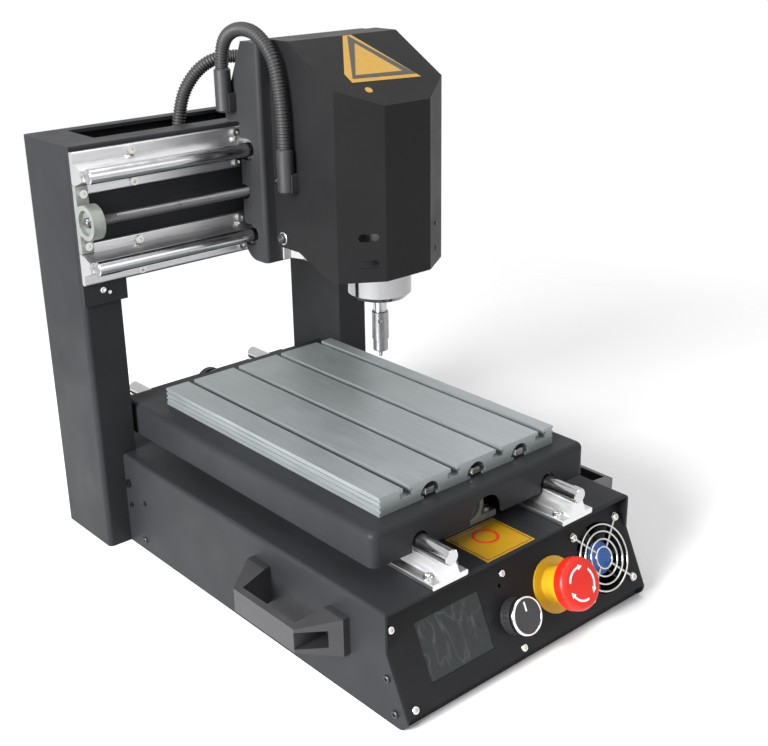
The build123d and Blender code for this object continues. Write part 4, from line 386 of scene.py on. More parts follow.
@dataclass(frozen=True)
class CircuitBoard:
    """Green lacquered board with copper tracks that show through the lacquer."""

    name: str
    colour: Colour = (0.01, 0.14, 0.05)
    copper: Colour = (0.05, 0.3, 0.10)

    def build(self) -> bpy.types.Material:
        """Makes the material: tracks are a Voronoi pattern's edges, lighter and raised."""
        graph = NodeGraph(self.name)
        cells = graph.tree.nodes.new("ShaderNodeTexVoronoi")
        cells.feature = "DISTANCE_TO_EDGE"
        cells.inputs["Scale"].default_value = 140.0
        graph.link(graph.coords, cells.inputs["Vector"])
        track = graph.spread(cells.outputs["Distance"], 1.0, 0.0, 0.02, 0.09)
        graph.link(graph.blend_colour(track, self.colour, self.copper), graph.shader.inputs["Base Color"])
        graph.link(graph.bump(track, 0.0001, 0.7), graph.shader.inputs["Normal"])
        graph.set(Roughness=0.35)
        return graph.material


@dataclass(frozen=True)
class FoilLabel:
    """Printed foil label: an even bright ink under a thin lacquer with slight ripples."""

    name: str
    colour: Colour
    roughness: float = 0.3

    def build(self) -> bpy.types.Material:
        """Makes the material: ripples are slow noise in bump, ink density is finer noise in colour."""
        graph = NodeGraph(self.name)
        ink = graph.noise(320.0, 3.0)
        ripple = graph.noise(90.0, 2.0)
        graph.link(graph.blend_colour(graph.spread(ink, 0.0, 1.0), shade(self.colour, 0.93),
                                      shade(self.colour, 1.05)), graph.shader.inputs["Base Color"])
        graph.link(graph.spread(ripple, self.roughness - 0.05, self.roughness + 0.08),
                   graph.shader.inputs["Roughness"])
        graph.link(graph.bump(ripple, 0.0002, 0.4), graph.shader.inputs["Normal"])
        graph.set(Coat_Weight=0.4, Coat_Roughness=0.15)
        return graph.material


Finish = (PowderCoat | DrawnMetal | PolishedMetal | CastMetal | MouldedPlastic | FilmedDisplay
          | CircuitBoard | FoilLabel)


@dataclass
class FinishBook:
    """All finishes of the machine, each built once."""

    made: dict[str, bpy.types.Material] = field(default_factory=dict)

    def get(self, finish: Finish) -> bpy.types.Material:
        """Gives the material of a finish and builds it the first time.

        Args:
            finish: the finish.

        Returns:
            Its material.
        """
        if finish.name not in self.made:
            self.made[finish.name] = finish.build()
        return self.made[finish.name]


BLACK_COAT = PowderCoat("black_coat")
PANEL_COAT = PowderCoat("panel_coat", (0.0115, 0.0115, 0.013), 0.40)
HOOD_COAT = PowderCoat("hood_coat", (0.0095, 0.0095, 0.0102), 0.44, 1300.0, 0.00012)
CARRIAGE_COAT = PowderCoat("carriage_coat", (0.024, 0.0245, 0.026), 0.44, 1300.0, 0.00012)
BED_METAL = DrawnMetal("bed_metal", (0.29, 0.315, 0.32), Along.Y, 0.42, 0.00003, 0.6)
RAIL_Y = DrawnMetal("rail_metal_y", (0.62, 0.62, 0.63), Along.Y, 0.32)
RAIL_X = DrawnMetal("rail_metal_x", (0.62, 0.62, 0.63), Along.X, 0.32)
RAIL_Z = DrawnMetal("rail_metal_z", (0.56, 0.56, 0.57), Along.Z, 0.3)
BLOCK_METAL = DrawnMetal("block_metal", (0.50, 0.50, 0.51), Along.X, 0.34)
PLATE_METAL = DrawnMetal("plate_metal", (0.42, 0.42, 0.43), Along.Z, 0.36)
SHAFT_STEEL = PolishedMetal("shaft_steel", (0.50, 0.50, 0.51), 0.16)
BRIGHT_SCREW = PolishedMetal("bright_screw", (0.72, 0.71, 0.69), 0.22, 400.0)
CHROME = PolishedMetal("chrome", (0.82, 0.82, 0.83), 0.09)
CAP_CHROME = PolishedMetal("cap_chrome", (0.40, 0.40, 0.41), 0.11)
WIRE = PolishedMetal("guard_wire", (0.58, 0.57, 0.55), 0.18)
HOLDER_STEEL = PolishedMetal("holder_steel", (0.30, 0.30, 0.31), 0.28, 600.0)
BLACK_SCREW = PolishedMetal("black_screw", (0.075, 0.075, 0.08), 0.34, 500.0)
THREAD_STEEL = PolishedMetal("thread_steel", (0.16, 0.16, 0.165), 0.36, 600.0)
STAND_CAST = CastMetal("stand_cast", (0.27, 0.285, 0.27))
MOTOR_SHELL = CastMetal("motor_shell", (0.045, 0.045, 0.048), 0.42)
BLACK_MOULDED = MouldedPlastic("black_moulded", (0.020, 0.020, 0.022), 0.42)
SOFT_BLACK = MouldedPlastic("soft_black", (0.014, 0.014, 0.015), 0.5, 900.0, 0.00006)
GREY_MOULDED = MouldedPlastic("grey_moulded", (0.12, 0.12, 0.125), 0.45)
YELLOW_MOULDED = MouldedPlastic("yellow_moulded", (0.54, 0.31, 0.010), 0.38)
RED_MOULDED = MouldedPlastic("red_moulded", (0.62, 0.014, 0.006), 0.36, gloss=0.35)
WHITE_INK = MouldedPlastic("white_ink", (0.82, 0.82, 0.80), 0.5)
BLUE_LABEL = FoilLabel("blue_label", (0.02, 0.12, 0.46), 0.4)
YELLOW_INK = FoilLabel("yellow_ink", (0.42, 0.225, 0.006), 0.34)
DARK_INK = FoilLabel("dark_ink", (0.016, 0.015, 0.014), 0.36)
RED_INK = FoilLabel("red_ink", (0.55, 0.03, 0.015), 0.36)
DISPLAY = FilmedDisplay("display_film")
BOARD_GREEN = CircuitBoard("board_green")
SUPPLY_CASE = DrawnMetal("supply_case", (0.55, 0.55, 0.56), Along.Y, 0.4)

NODE_FINISH: dict[str, Finish] = {
    "base_shell": BLACK_COAT, "bottom_plate": BLACK_COAT, "front_panel": PANEL_COAT,
    "column_left": BLACK_COAT, "column_right": BLACK_COAT, "beam": BLACK_COAT, "table": BLACK_COAT,
    "motor_brackets": BLACK_COAT, "y_belt": SOFT_BLACK, "y_screw": THREAD_STEEL, "x_carriage": CARRIAGE_COAT,
    "head_hood": HOOD_COAT, "display_screen": DISPLAY, "speed_control": BLACK_MOULDED,
    "speed_knob": BLACK_MOULDED, "estop_plate": YELLOW_MOULDED, "estop_body": YELLOW_MOULDED,
    "estop_button": RED_MOULDED, "fan_frame": BLACK_MOULDED, "fan_rotor": BLACK_MOULDED, "fan_guard": WIRE,
    "panel_screws": BRIGHT_SCREW, "side_screws": BLACK_SCREW, "handles": BLACK_MOULDED,
    "control_board": BOARD_GREEN, "power_supply": SUPPLY_CASE, "power_inlet": BLACK_MOULDED,
    "y_supports": RAIL_Y, "x_supports": RAIL_X, "z_supports": RAIL_Z, "y_shafts": SHAFT_STEEL,
    "x_shafts": SHAFT_STEEL, "z_shafts": SHAFT_STEEL, "rail_screws": BRIGHT_SCREW,
    "z_rail_screws": BRIGHT_SCREW, "screw_bearings": STAND_CAST, "axis_motors": MOTOR_SHELL,
    "z_motor": MOTOR_SHELL, "beam_gland": BLACK_MOULDED, "carriage_glands": BLACK_MOULDED,
    "hood_elbow": BLACK_MOULDED, "bed": BED_METAL, "bed_bolts": BRIGHT_SCREW, "y_blocks": BLOCK_METAL,
    "x_blocks": BLOCK_METAL, "z_blocks": BLOCK_METAL, "y_nut": GREY_MOULDED, "x_nut": GREY_MOULDED,
    "z_nut": GREY_MOULDED, "head_plate": PLATE_METAL, "spindle_clamp": PLATE_METAL,
    "spindle_body": MOTOR_SHELL, "spindle_cap": CAP_CHROME, "spindle_shaft": SHAFT_STEEL,
    "tool_holder": HOLDER_STEEL, "cutter": HOLDER_STEEL,
}


def surface(name: str, grid: np.ndarray, close_u: bool = False, close_v: bool = False,
            smooth: bool = True) -> bpy.types.Object:
    """Makes a mesh from a grid of points: face (i, j) joins the four points round it.

    Args:
        name: name of the object and its mesh.
        grid: points, as an array of rows by columns by 3, in metres.
        close_u: the last row joins the first.
        close_v: the last column joins the first.
        smooth: shade the faces smooth.

    Returns:
        The object, in the scene, at the origin.
    """
    rows, cols = grid.shape[:2]
    index = np.arange(rows * cols).reshape(rows, cols)
    if close_u:
        index = np.concatenate([index, index[:1]], axis=0)
    if close_v:
        index = np.concatenate([index, index[:, :1]], axis=1)
    faces = np.stack([index[:-1, :-1], index[:-1, 1:], index[1:, 1:], index[1:, :-1]], axis=-1).reshape(-1, 4)
    mesh = bpy.data.meshes.new(name)
    mesh.from_pydata(grid.reshape(-1, 3).tolist(), [], faces.tolist())
    mesh.polygons.foreach_set("use_smooth", np.full(len(mesh.polygons), smooth))
    mesh.update()
    made = bpy.data.objects.new(name, mesh)
    bpy.context.collection.objects.link(made)
    return made


def basis(axis: Point, across: Point) -> tuple[np.ndarray, np.ndarray, np.ndarray]:
    """Unit vectors of a local frame.

    Args:
        axis: direction of the local third axis.
        across: rough direction of the local first axis.

    Returns:
        The first, second and third unit vectors. The second is the third crossed with the first.
    """
    third = np.array(axis, float) / np.linalg.norm(axis)
    first = np.array(across, float) - np.dot(across, third) * third
    first = first / np.linalg.norm(first)
    return first, np.cross(third, first), third


def turned(name: str, profile: np.ndarray, centre: Point, axis: Point, across: Point = (1, 0, 0),
           sides: int = 48) -> bpy.types.Object:
    """Turned surface: the point at angle a and step s is centre + r(s) (cos a, sin a) + h(s) axis.

    Args:
        name: name of the piece.
        profile: steps by 2, radius and height in metres, from the lowest inside to the top.
        centre: a point on the axis.
        axis: the axis, along which the height grows.
        across: direction of angle 0.
        sides: number of angles.

    Returns:
        The object.
    """
    first, second, third = basis(axis, across)
    angle = np.linspace(0, 2 * np.pi, sides, endpoint=False)
    round_ = np.cos(angle)[:, None] * first + np.sin(angle)[:, None] * second
    grid = np.array(centre) + profile[:, 0][:, None, None] * round_[None] + (
        profile[:, 1][:, None, None] * third)
    return surface(name, grid, close_v=True)


def plate(name: str, outline: np.ndarray, centre: Point, axis: Point, across: Point,
          thick: float) -> bpy.types.Object:
    """Flat plate: an outline lifted by its thickness, with a rim and both faces.

    Args:
        name: name of the piece.
        outline: points by 2, in metres, anticlockwise seen from the axis' tip.
        centre: origin of the outline, on the face that carries the plate.
        axis: outward normal.
        across: direction of the outline's first coordinate.
        thick: thickness in metres.

    Returns:
        The object.
    """
    first, second, third = basis(axis, across)
    flat = np.array(centre) + outline[:, :1] * first + outline[:, 1:] * second
    count = len(flat)
    points = np.concatenate([flat, flat + thick * third])
    around = np.arange(count)
    after = (around + 1) % count
    rim = np.stack([around, after, after + count, around + count], axis=1).tolist()
    mesh = bpy.data.meshes.new(name)
    mesh.from_pydata(points.tolist(), [], rim + [list(range(count - 1, -1, -1)),
                                                 list(range(count, 2 * count))])
    mesh.update()
    made = bpy.data.objects.new(name, mesh)
    bpy.context.collection.objects.link(made)
    return made


def ring_plate(name: str, outer: np.ndarray, inner: np.ndarray, centre: Point, axis: Point,
               across: Point, thick: float) -> bpy.types.Object:
    """Flat band between two outlines of equal length, closed all round its section.

    Args:
        name: name of the piece.
        outer: points by 2, in metres, anticlockwise.
        inner: points by 2, one for each outer point.
        centre: origin of the outlines.
        axis: outward normal.
        across: direction of the first coordinate.
        thick: thickness in metres.

    Returns:
        The object.
    """
    first, second, third = basis(axis, across)
    lay = np.stack([outer, outer, inner, inner])
    lift = np.array([0.0, thick, thick, 0.0])
    grid = (np.array(centre) + lay[..., :1] * first + lay[..., 1:] * second
            + lift[:, None, None] * third)
    return surface(name, grid, close_u=True, close_v=True, smooth=False)


def circle(radius: float, sides: int = 48, start: float = 0.0, sweep: float = 2 * math.pi) -> np.ndarray:
    """Points on an arc or a whole circle: (r cos a, r sin a).

    Args:
        radius: radius in metres.
        sides: number of points.
        start: first angle.
        sweep: angle covered; a full turn leaves the repeated last point out.

    Returns:
        Points by 2.
    """
    full = abs(sweep - 2 * math.pi) < 1e-6
    angle = start + np.linspace(0, sweep, sides, endpoint=not full)
    return radius * np.stack([np.cos(angle), np.sin(angle)], axis=1)


def cap_screw(name: str, place: Point, out: Point, radius: float, height: float) -> bpy.types.Object:
    """Socket screw's head: rings from the wall up and over the rim, then down a hexagon that has
    the radius f / cos((a mod 60 degrees) - 30 degrees) at angle a.

    Args:
        name: name of the piece.
        place: centre on the wall.
        out: outward normal.
        radius: head radius in mm.
        height: head height in mm.

    Returns:
        The head.
    """
    first, second, third = basis(out, UP)
    a = np.linspace(0, 2 * np.pi, 48, endpoint=False)
    hexagon = 0.5 * radius / np.cos((a % (np.pi / 3)) - np.pi / 6)
    even = np.ones_like(a)
    rings = np.stack([0.02 * even, radius * even, radius * even, 0.93 * radius * even, 0.62 * radius * even,
                      hexagon * 0.98, hexagon * 0.95, 0.02 * even]) * MM
    levels = np.array([0.0, 0.0, 0.86, 1.0, 1.0, 0.96, 0.45, 0.40]) * height * MM
    turn = np.cos(a)[:, None] * first + np.sin(a)[:, None] * second
    grid = np.array(place) + rings[..., None] * turn[None] + levels[:, None, None] * third
    return surface(name, grid, close_v=True)


@dataclass
class Dresser:
    """Puts finishes, bodies and slots on pieces and reports each of them."""

    book: FinishBook
    count: int = 0

    def piece(self, made: bpy.types.Object, finish: Finish, body: str | None) -> bpy.types.Object:
        """Finishes a new piece and sets it on its body.

        Args:
            made: the new object.
            finish: its finish.
            body: the CAD body that it rides on, or None for a piece that runs between two bodies and is set
                on neither.

        Returns:
            The same object.
        """
        made.data.materials.clear()
        made.data.materials.append(self.book.get(finish))
        if body is not None:
            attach(made, body)
        self.count += 1
        log.info("piece %s: %d faces on %s", made.name, len(made.data.polygons), body)
        return made

    def nodes(self, nodes: dict[str, bpy.types.Object]) -> None:
        """Gives each CAD node that stays its finish.

        Args:
            nodes: node name to object.
        """
        for name, finish in NODE_FINISH.items():
            for slot in nodes[name].material_slots:
                slot.material = self.book.get(finish)
            log.info("node %s: %s", name, finish.name)


@dataclass
class Hose:
    """Corrugated hose: a smooth line through a route, wrapped in rounded ribs."""

    name: str
    node: str
    route: list[Point]
    bodies: tuple[str, str]
    start: Point
    end: Point
    radius: float = 5.8 * MM
    rib: float = 2.6 * MM
    depth: float = 1.1 * MM
    end_radius: float = 0.4 * MM
    across: Point = ACROSS
    sides: int = 20
    steps_per_rib: int = 6
    steps_per_point: int = 24
    order: int = 3
    smoothing: int = 9

    def line(self) -> np.ndarray:
        """Samples the route's own NURBS spline, with the route as its control points.

        Returns:
            Points along the smooth line, close together.
        """
        curve = bpy.data.curves.new(self.name + "_line", "CURVE")
        curve.dimensions = "3D"
        curve.resolution_u = self.steps_per_point
        spline = curve.splines.new("NURBS")
        spline.points.add(len(self.route) - 1)
        weights = np.ones((len(self.route), 1))
        spline.points.foreach_set("co", np.hstack([np.array(self.route), weights]).ravel())
        spline.order_u = self.order
        spline.use_endpoint_u = True
        holder = bpy.data.objects.new(self.name + "_line", curve)
        bpy.context.collection.objects.link(holder)
        mesh = bpy.data.meshes.new_from_object(holder)
        points = np.empty(len(mesh.vertices) * 3)
        mesh.vertices.foreach_get("co", points)
        bpy.data.objects.remove(holder)
        bpy.data.curves.remove(curve)
        bpy.data.meshes.remove(mesh)
        return points.reshape(-1, 3)

    def build(self, dresser: Dresser) -> bpy.types.Object:
        """Makes the tube: at length s the radius is r - d (1 - |cos(pi s / rib)|), so ribs are round and
        the grooves between them sharp.

        Args:
            dresser: puts on the finish.

        Returns:
            The hose.
        """
        sample = self.line()
        gaps = np.linalg.norm(np.diff(sample, axis=0), axis=1)
        along = np.concatenate([[0.0], np.cumsum(gaps)])
        length = float(along[-1])
        ribs = int(round(length / self.rib))
        s = np.linspace(0, length, ribs * self.steps_per_rib + 1)
        centre = np.stack([np.interp(s, along, sample[:, k]) for k in range(3)], axis=1)
        kernel = np.ones(self.smoothing) / self.smoothing
        tangent = np.gradient(centre, axis=0)
        margin = self.smoothing // 2
        padded = np.pad(tangent, ((margin, margin), (0, 0)), mode="edge")
        tangent = np.stack([np.convolve(padded[:, k], kernel, "valid") for k in range(3)], axis=1)
        tangent /= np.linalg.norm(tangent, axis=1)[:, None]
        first = np.array(self.across, float) - (tangent @ np.array(self.across, float))[:, None] * tangent
        first /= np.linalg.norm(first, axis=1)[:, None]
        second = np.cross(tangent, first)
        radius = self.radius - self.depth * (1 - np.abs(np.cos(np.pi * s / (length / ribs))))
        radius[[0, -1]] = self.end_radius
        angle = np.linspace(0, 2 * np.pi, self.sides, endpoint=False)
        grid = centre[:, None] + radius[:, None, None] * (
            np.cos(angle)[None, :, None] * first[:, None]
            + np.sin(angle)[None, :, None] * second[:, None])
        made = surface(self.name, grid, close_v=True)
        dresser.piece(made, SOFT_BLACK, None)
        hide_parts(self.node)
        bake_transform(made)
        log.info("hose %s: %.0f mm long", self.name, length * 1000)
        return made


@dataclass
class LeadScrew:
    """Threaded bar: the radius follows a trapezium wave that winds round the axis."""

    name: str
    node: str
    body: str
    start: Point
    axis: Point
    length: float
    across: Point = (0.31, 0.52, 0.79)
    radius: float = 4.0 * MM
    depth: float = 0.9 * MM
    pitch: float = 2.0 * MM
    flank: float = 1.6
    end_radius: float = 0.3 * MM
    starts: int = 4
    sides: int = 24
    steps: int = 8

    def build(self, dresser: Dresser) -> bpy.types.Object:
        """Makes the thread: at height h and angle a the phase is h / pitch - starts a / 2 pi, and the
        radius falls from crest to root over the middle of each half wave.

        Args:
            dresser: puts on the finish.

        Returns:
            The screw.
        """
        count = int(self.length / self.pitch * self.steps)
        h = np.linspace(0, self.length, count)
        a = np.linspace(0, 2 * np.pi, self.sides, endpoint=False)
        phase = (h[:, None] / self.pitch - self.starts * a[None] / (2 * np.pi)) % 1.0
        wave = np.clip(0.5 + self.flank * np.cos(2 * np.pi * phase), 0, 1)
        r = self.radius - self.depth * (1 - wave)
        r[[0, -1]] = self.end_radius
        first, second, third = basis(self.axis, self.across)
        turn = np.cos(a)[:, None] * first + np.sin(a)[:, None] * second
        grid = np.array(self.start) + r[..., None] * turn[None] + h[:, None, None] * third
        made = surface(self.name, grid, close_v=True)
        dresser.piece(made, THREAD_STEEL, self.body)
        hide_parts(self.node)
        return made


@dataclass
class ControlPanel:
    """Things printed and fitted on the sloped panel: knob ring, button arrows, fan badge."""

    foot: Point = (0.0, -0.2375, 0.0105)
    run: float = 0.021
    rise: float = 0.0445
    knob: tuple[float, float] = (-0.011, 0.029)
    knob_top: float = 0.0146
    stop: tuple[float, float] = (0.0355, 0.0355)
    stop_top: float = 0.0295
    arrow_angles: tuple[float, ...] = (0.35, 0.35 + 2.094, 0.35 + 4.189)
    arrow_radius: float = 12.4 * MM
    arrow_sweep: float = 1.25
    arrow_half: float = 0.8 * MM
    arrow_tip: float = 4.2 * MM
    arrow_thick: float = 0.2 * MM
    fan: tuple[float, float] = (0.092, 0.036)
    fan_hub: float = -0.0035
    badge_radius: float = 12.8 * MM
    print_thick: float = 0.3 * MM

    def normal(self) -> np.ndarray:
        """Outward normal of the panel."""
        size = math.hypot(self.run, self.rise)
        return np.array([0.0, -self.rise / size, self.run / size])

    def at(self, place: tuple[float, float], height: float) -> Point:
        """Point on the panel.

        Args:
            place: across the machine and up the panel, in metres.
            height: distance off the panel.

        Returns:
            The point in the row frame.
        """
        n = self.normal()
        up = np.array([0.0, n[2], -n[1]])
        return tuple(np.array(self.foot) + np.array([place[0], 0, 0]) + place[1] * up + height * n)

    def build(self, dresser: Dresser) -> None:
        """Makes the trim.

        Args:
            dresser: puts on finishes.
        """
        n = tuple(self.normal())
        rim = np.array([[12.6, -4.2], [14.5, -4.2], [14.5, -1.4], [13.9, 0.4], [13.3, 0.6], [12.8, 0.3],
                        [12.8, -1.2], [12.6, -4.2]]) * MM
        ring = turned("knob_ring", rim, self.at(self.knob, self.knob_top), n, ACROSS, 64)
        dresser.piece(ring, CHROME, "knob")
        pointer = plate("knob_pointer", np.array([[-0.7, 3.5], [0.7, 3.5], [0.7, 10.5], [-0.7, 10.5]]) * MM,
                        self.at(self.knob, self.knob_top - 0.1 * MM), n, ACROSS, self.print_thick)
        dresser.piece(pointer, WHITE_INK, "knob")
        for index, start in enumerate(self.arrow_angles):
            arrow = self.arrow(f"stop_arrow_{index + 1}", start)
            dresser.piece(arrow, WHITE_INK, "stop_button")
        badge = plate("fan_badge", circle(self.badge_radius, 48), self.at(self.fan, self.fan_hub), n, ACROSS,
                      self.print_thick)
        dresser.piece(badge, BLUE_LABEL, "fan")

    def arrow(self, name: str, start: float) -> bpy.types.Object:
        """Curved arrow on the stop button: a band on an arc that ends in a triangle.

        Args:
            name: name of the piece.
            start: angle of its tail.

        Returns:
            The arrow.
        """
        radius, half = self.arrow_radius, self.arrow_half
        outer = circle(radius + half, 14, start, self.arrow_sweep)
        inner = circle(radius - half, 14, start, self.arrow_sweep)[::-1]
        tip = start + self.arrow_sweep
        out = np.array([math.cos(tip), math.sin(tip)])
        ahead = np.array([-out[1], out[0]])
        head = np.array([out * (radius + 2.6 * half), out * radius + ahead * self.arrow_tip,
                         out * (radius - 2.6 * half)])
        outline = (np.concatenate([outer, head, inner]) * (-1.0, 1.0))[::-1]
        return plate(name, outline, self.at(self.stop, self.stop_top), tuple(self.normal()), ACROSS,
                     self.arrow_thick)


@dataclass
class HoodTrim:
    """Label and small screws of the spindle hood."""

    field: Places = ((0.0341, -0.0012), (0.1031, -0.0046), (0.0750, 0.0488), (0.0661, 0.0488),
                     (0.0343, 0.0089))
    band_outer: Places = ((0.0372, 0.0025), (0.1006, -0.0009), (0.0705, 0.0482))
    band_inner: Places = ((0.0426, 0.0056), (0.0909, 0.0037), (0.0706, 0.0397))
    dot: tuple[float, float] = (0.0425, -0.0105)
    dot_radius: float = 3.2 * MM
    band_lift: tuple[float, float] = (-0.1 * MM, 0.22 * MM)
    brow: Point = (0.0, 0.0495, 0.421)
    foot: Point = (0.0, -0.028, 0.376)
    left: float = 0.0102
    right: float = 0.1246
    low_screw: tuple[float, float] = (0.066, 0.259)
    high_screw: tuple[float, float] = (0.070, 0.308)
    front_screws: tuple[Point, ...] = ((0.1068, -0.0179, 0.2702), (0.1080, -0.0171, 0.2485))
    front_out: Point = (21.8, -33.2, 0.0)

    def slope(self, x: float, y: float) -> tuple[float, float]:
        """Place on the sloped top, as distance across and distance up from its front edge."""
        run = self.brow[1] - self.foot[1]
        rise = self.brow[2] - self.foot[2]
        return x, (y - self.foot[1]) * math.hypot(run, rise) / run

    def build(self, dresser: Dresser) -> None:
        """Makes the label and the screws.

        Args:
            dresser: puts on finishes.
        """
        run = self.brow[1] - self.foot[1]
        rise = self.brow[2] - self.foot[2]
        n = (0.0, -rise, run)
        whole = np.array([self.slope(*place) for place in self.field])
        dresser.piece(plate("hood_label", whole, self.foot, n, ACROSS, INK_THICK), YELLOW_INK, "head")
        band = ring_plate("hood_label_band", np.array([self.slope(*place) for place in self.band_outer]),
                          np.array([self.slope(*place) for place in self.band_inner]),
                          (self.foot[0], self.foot[1] + self.band_lift[0], self.foot[2] + self.band_lift[1]),
                          n, ACROSS, INK_THICK)
        dresser.piece(band, DARK_INK, "head")
        dot = plate("hood_dot", np.array(self.slope(*self.dot)) + circle(self.dot_radius, 28), self.foot, n,
                    ACROSS, INK_THICK)
        dresser.piece(dot, YELLOW_INK, "head")
        for side, x in (("left", self.left), ("right", self.right)):
            out = (-1.0, 0.0, 0.0) if side == "left" else ACROSS
            low, high = (x, *self.low_screw), (x, *self.high_screw)
            dresser.piece(cap_screw(f"hood_screw_{side}_low", low, out, 4.2, 3.2), BLACK_SCREW, "head")
            dresser.piece(self.washer(f"hood_washer_{side}", low, out), BRIGHT_SCREW, "head")
            dresser.piece(cap_screw(f"hood_screw_{side}_high", high, out, 2.6, 1.8), BLACK_SCREW, "head")
        for index, place in enumerate(self.front_screws):
            dresser.piece(cap_screw(f"hood_front_screw_{index + 1}", place, self.front_out, 2.0, 0.7),
                          BLACK_SCREW, "head")

    def washer(self, name: str, place: Point, out: Point) -> bpy.types.Object:
        """Plain washer under a screw's head.

        Args:
            name: name of the piece.
            place: centre on the wall.
            out: outward normal.

        Returns:
            The washer.
        """
        profile = np.array([[3.0, 0.0], [5.6, 0.0], [5.6, 0.6], [5.3, 0.8], [3.0, 0.8], [3.0, 0.0]]) * MM
        return turned(name, profile, place, out, UP, 40)


@dataclass
class BeamTrim:
    """Screws that hold the beam's tabs to the columns, seen below the lower cross rail.

    Each place gives the distance from the middle and the height in metres, and the head's radius in mm.
    """

    face: float = 0.1215
    height: float = 0.6
    places: tuple[tuple[float, float, float], ...] = ((0.1320, 0.2327, 2.6), (0.1260, 0.2296, 1.6))

    def build(self, dresser: Dresser) -> None:
        """Makes the screw heads on both tabs.

        Args:
            dresser: puts on finishes.
        """
        for side, name in ((-1, "left"), (1, "right")):
            for index, (x, z, radius) in enumerate(self.places):
                head = cap_screw(f"beam_screw_{name}_{index + 1}", (side * x, self.face, z),
                                 (0.0, -1.0, 0.0), radius, self.height * radius)
                dresser.piece(head, BRIGHT_SCREW, "frame")


@dataclass
class BaseNotice:
    """Square yellow plate on the deck in front of the bed, with a dark border and a red ring."""

    corners: Places = ((-0.0286, -0.2145), (0.0210, -0.2145), (0.0210, -0.1708), (-0.0286, -0.1708))
    border: tuple[float, float] = (0.93, 0.905)
    spot: tuple[float, float] = (-0.0032, -0.1872)
    ring: tuple[float, float] = (10.5 * MM, 8.2 * MM)
    deck: float = 0.0835
    thick: float = 0.4 * MM
    print_thick: float = 0.2 * MM
    print_level: float = 0.3 * MM

    def build(self, dresser: Dresser) -> None:
        """Makes the plate, its border and its ring.

        Args:
            dresser: puts on finishes.
        """
        corners = np.array(self.corners)
        middle = corners.mean(axis=0)
        printed = (0, 0, self.deck + self.print_level)
        dresser.piece(plate("deck_plate", corners, (0, 0, self.deck), UP, ACROSS, self.thick), YELLOW_INK,
                      "frame")
        outer, inner = (middle + share * (corners - middle) for share in self.border)
        dresser.piece(ring_plate("deck_plate_border", outer, inner, printed, UP, ACROSS, self.print_thick),
                      DARK_INK, "frame")
        outer, inner = (np.array(self.spot) + circle(radius, 40) for radius in self.ring)
        dresser.piece(ring_plate("deck_plate_ring", outer, inner, printed, UP, ACROSS, self.print_thick),
                      RED_INK, "frame")


@dataclass(frozen=True)
class Lamp:
    """Square soft lamp: its place, its side in metres and its power in watts."""

    name: str
    place: Point
    size: float
    power: float


LAMPS = (Lamp("key", (-2.0, -0.25, 0.95), 1.0, 135.0), Lamp("front", (0.5, -1.9, 1.2), 1.4, 9.0),
         Lamp("top", (0.1, 0.2, 2.2), 1.4, 20.0))


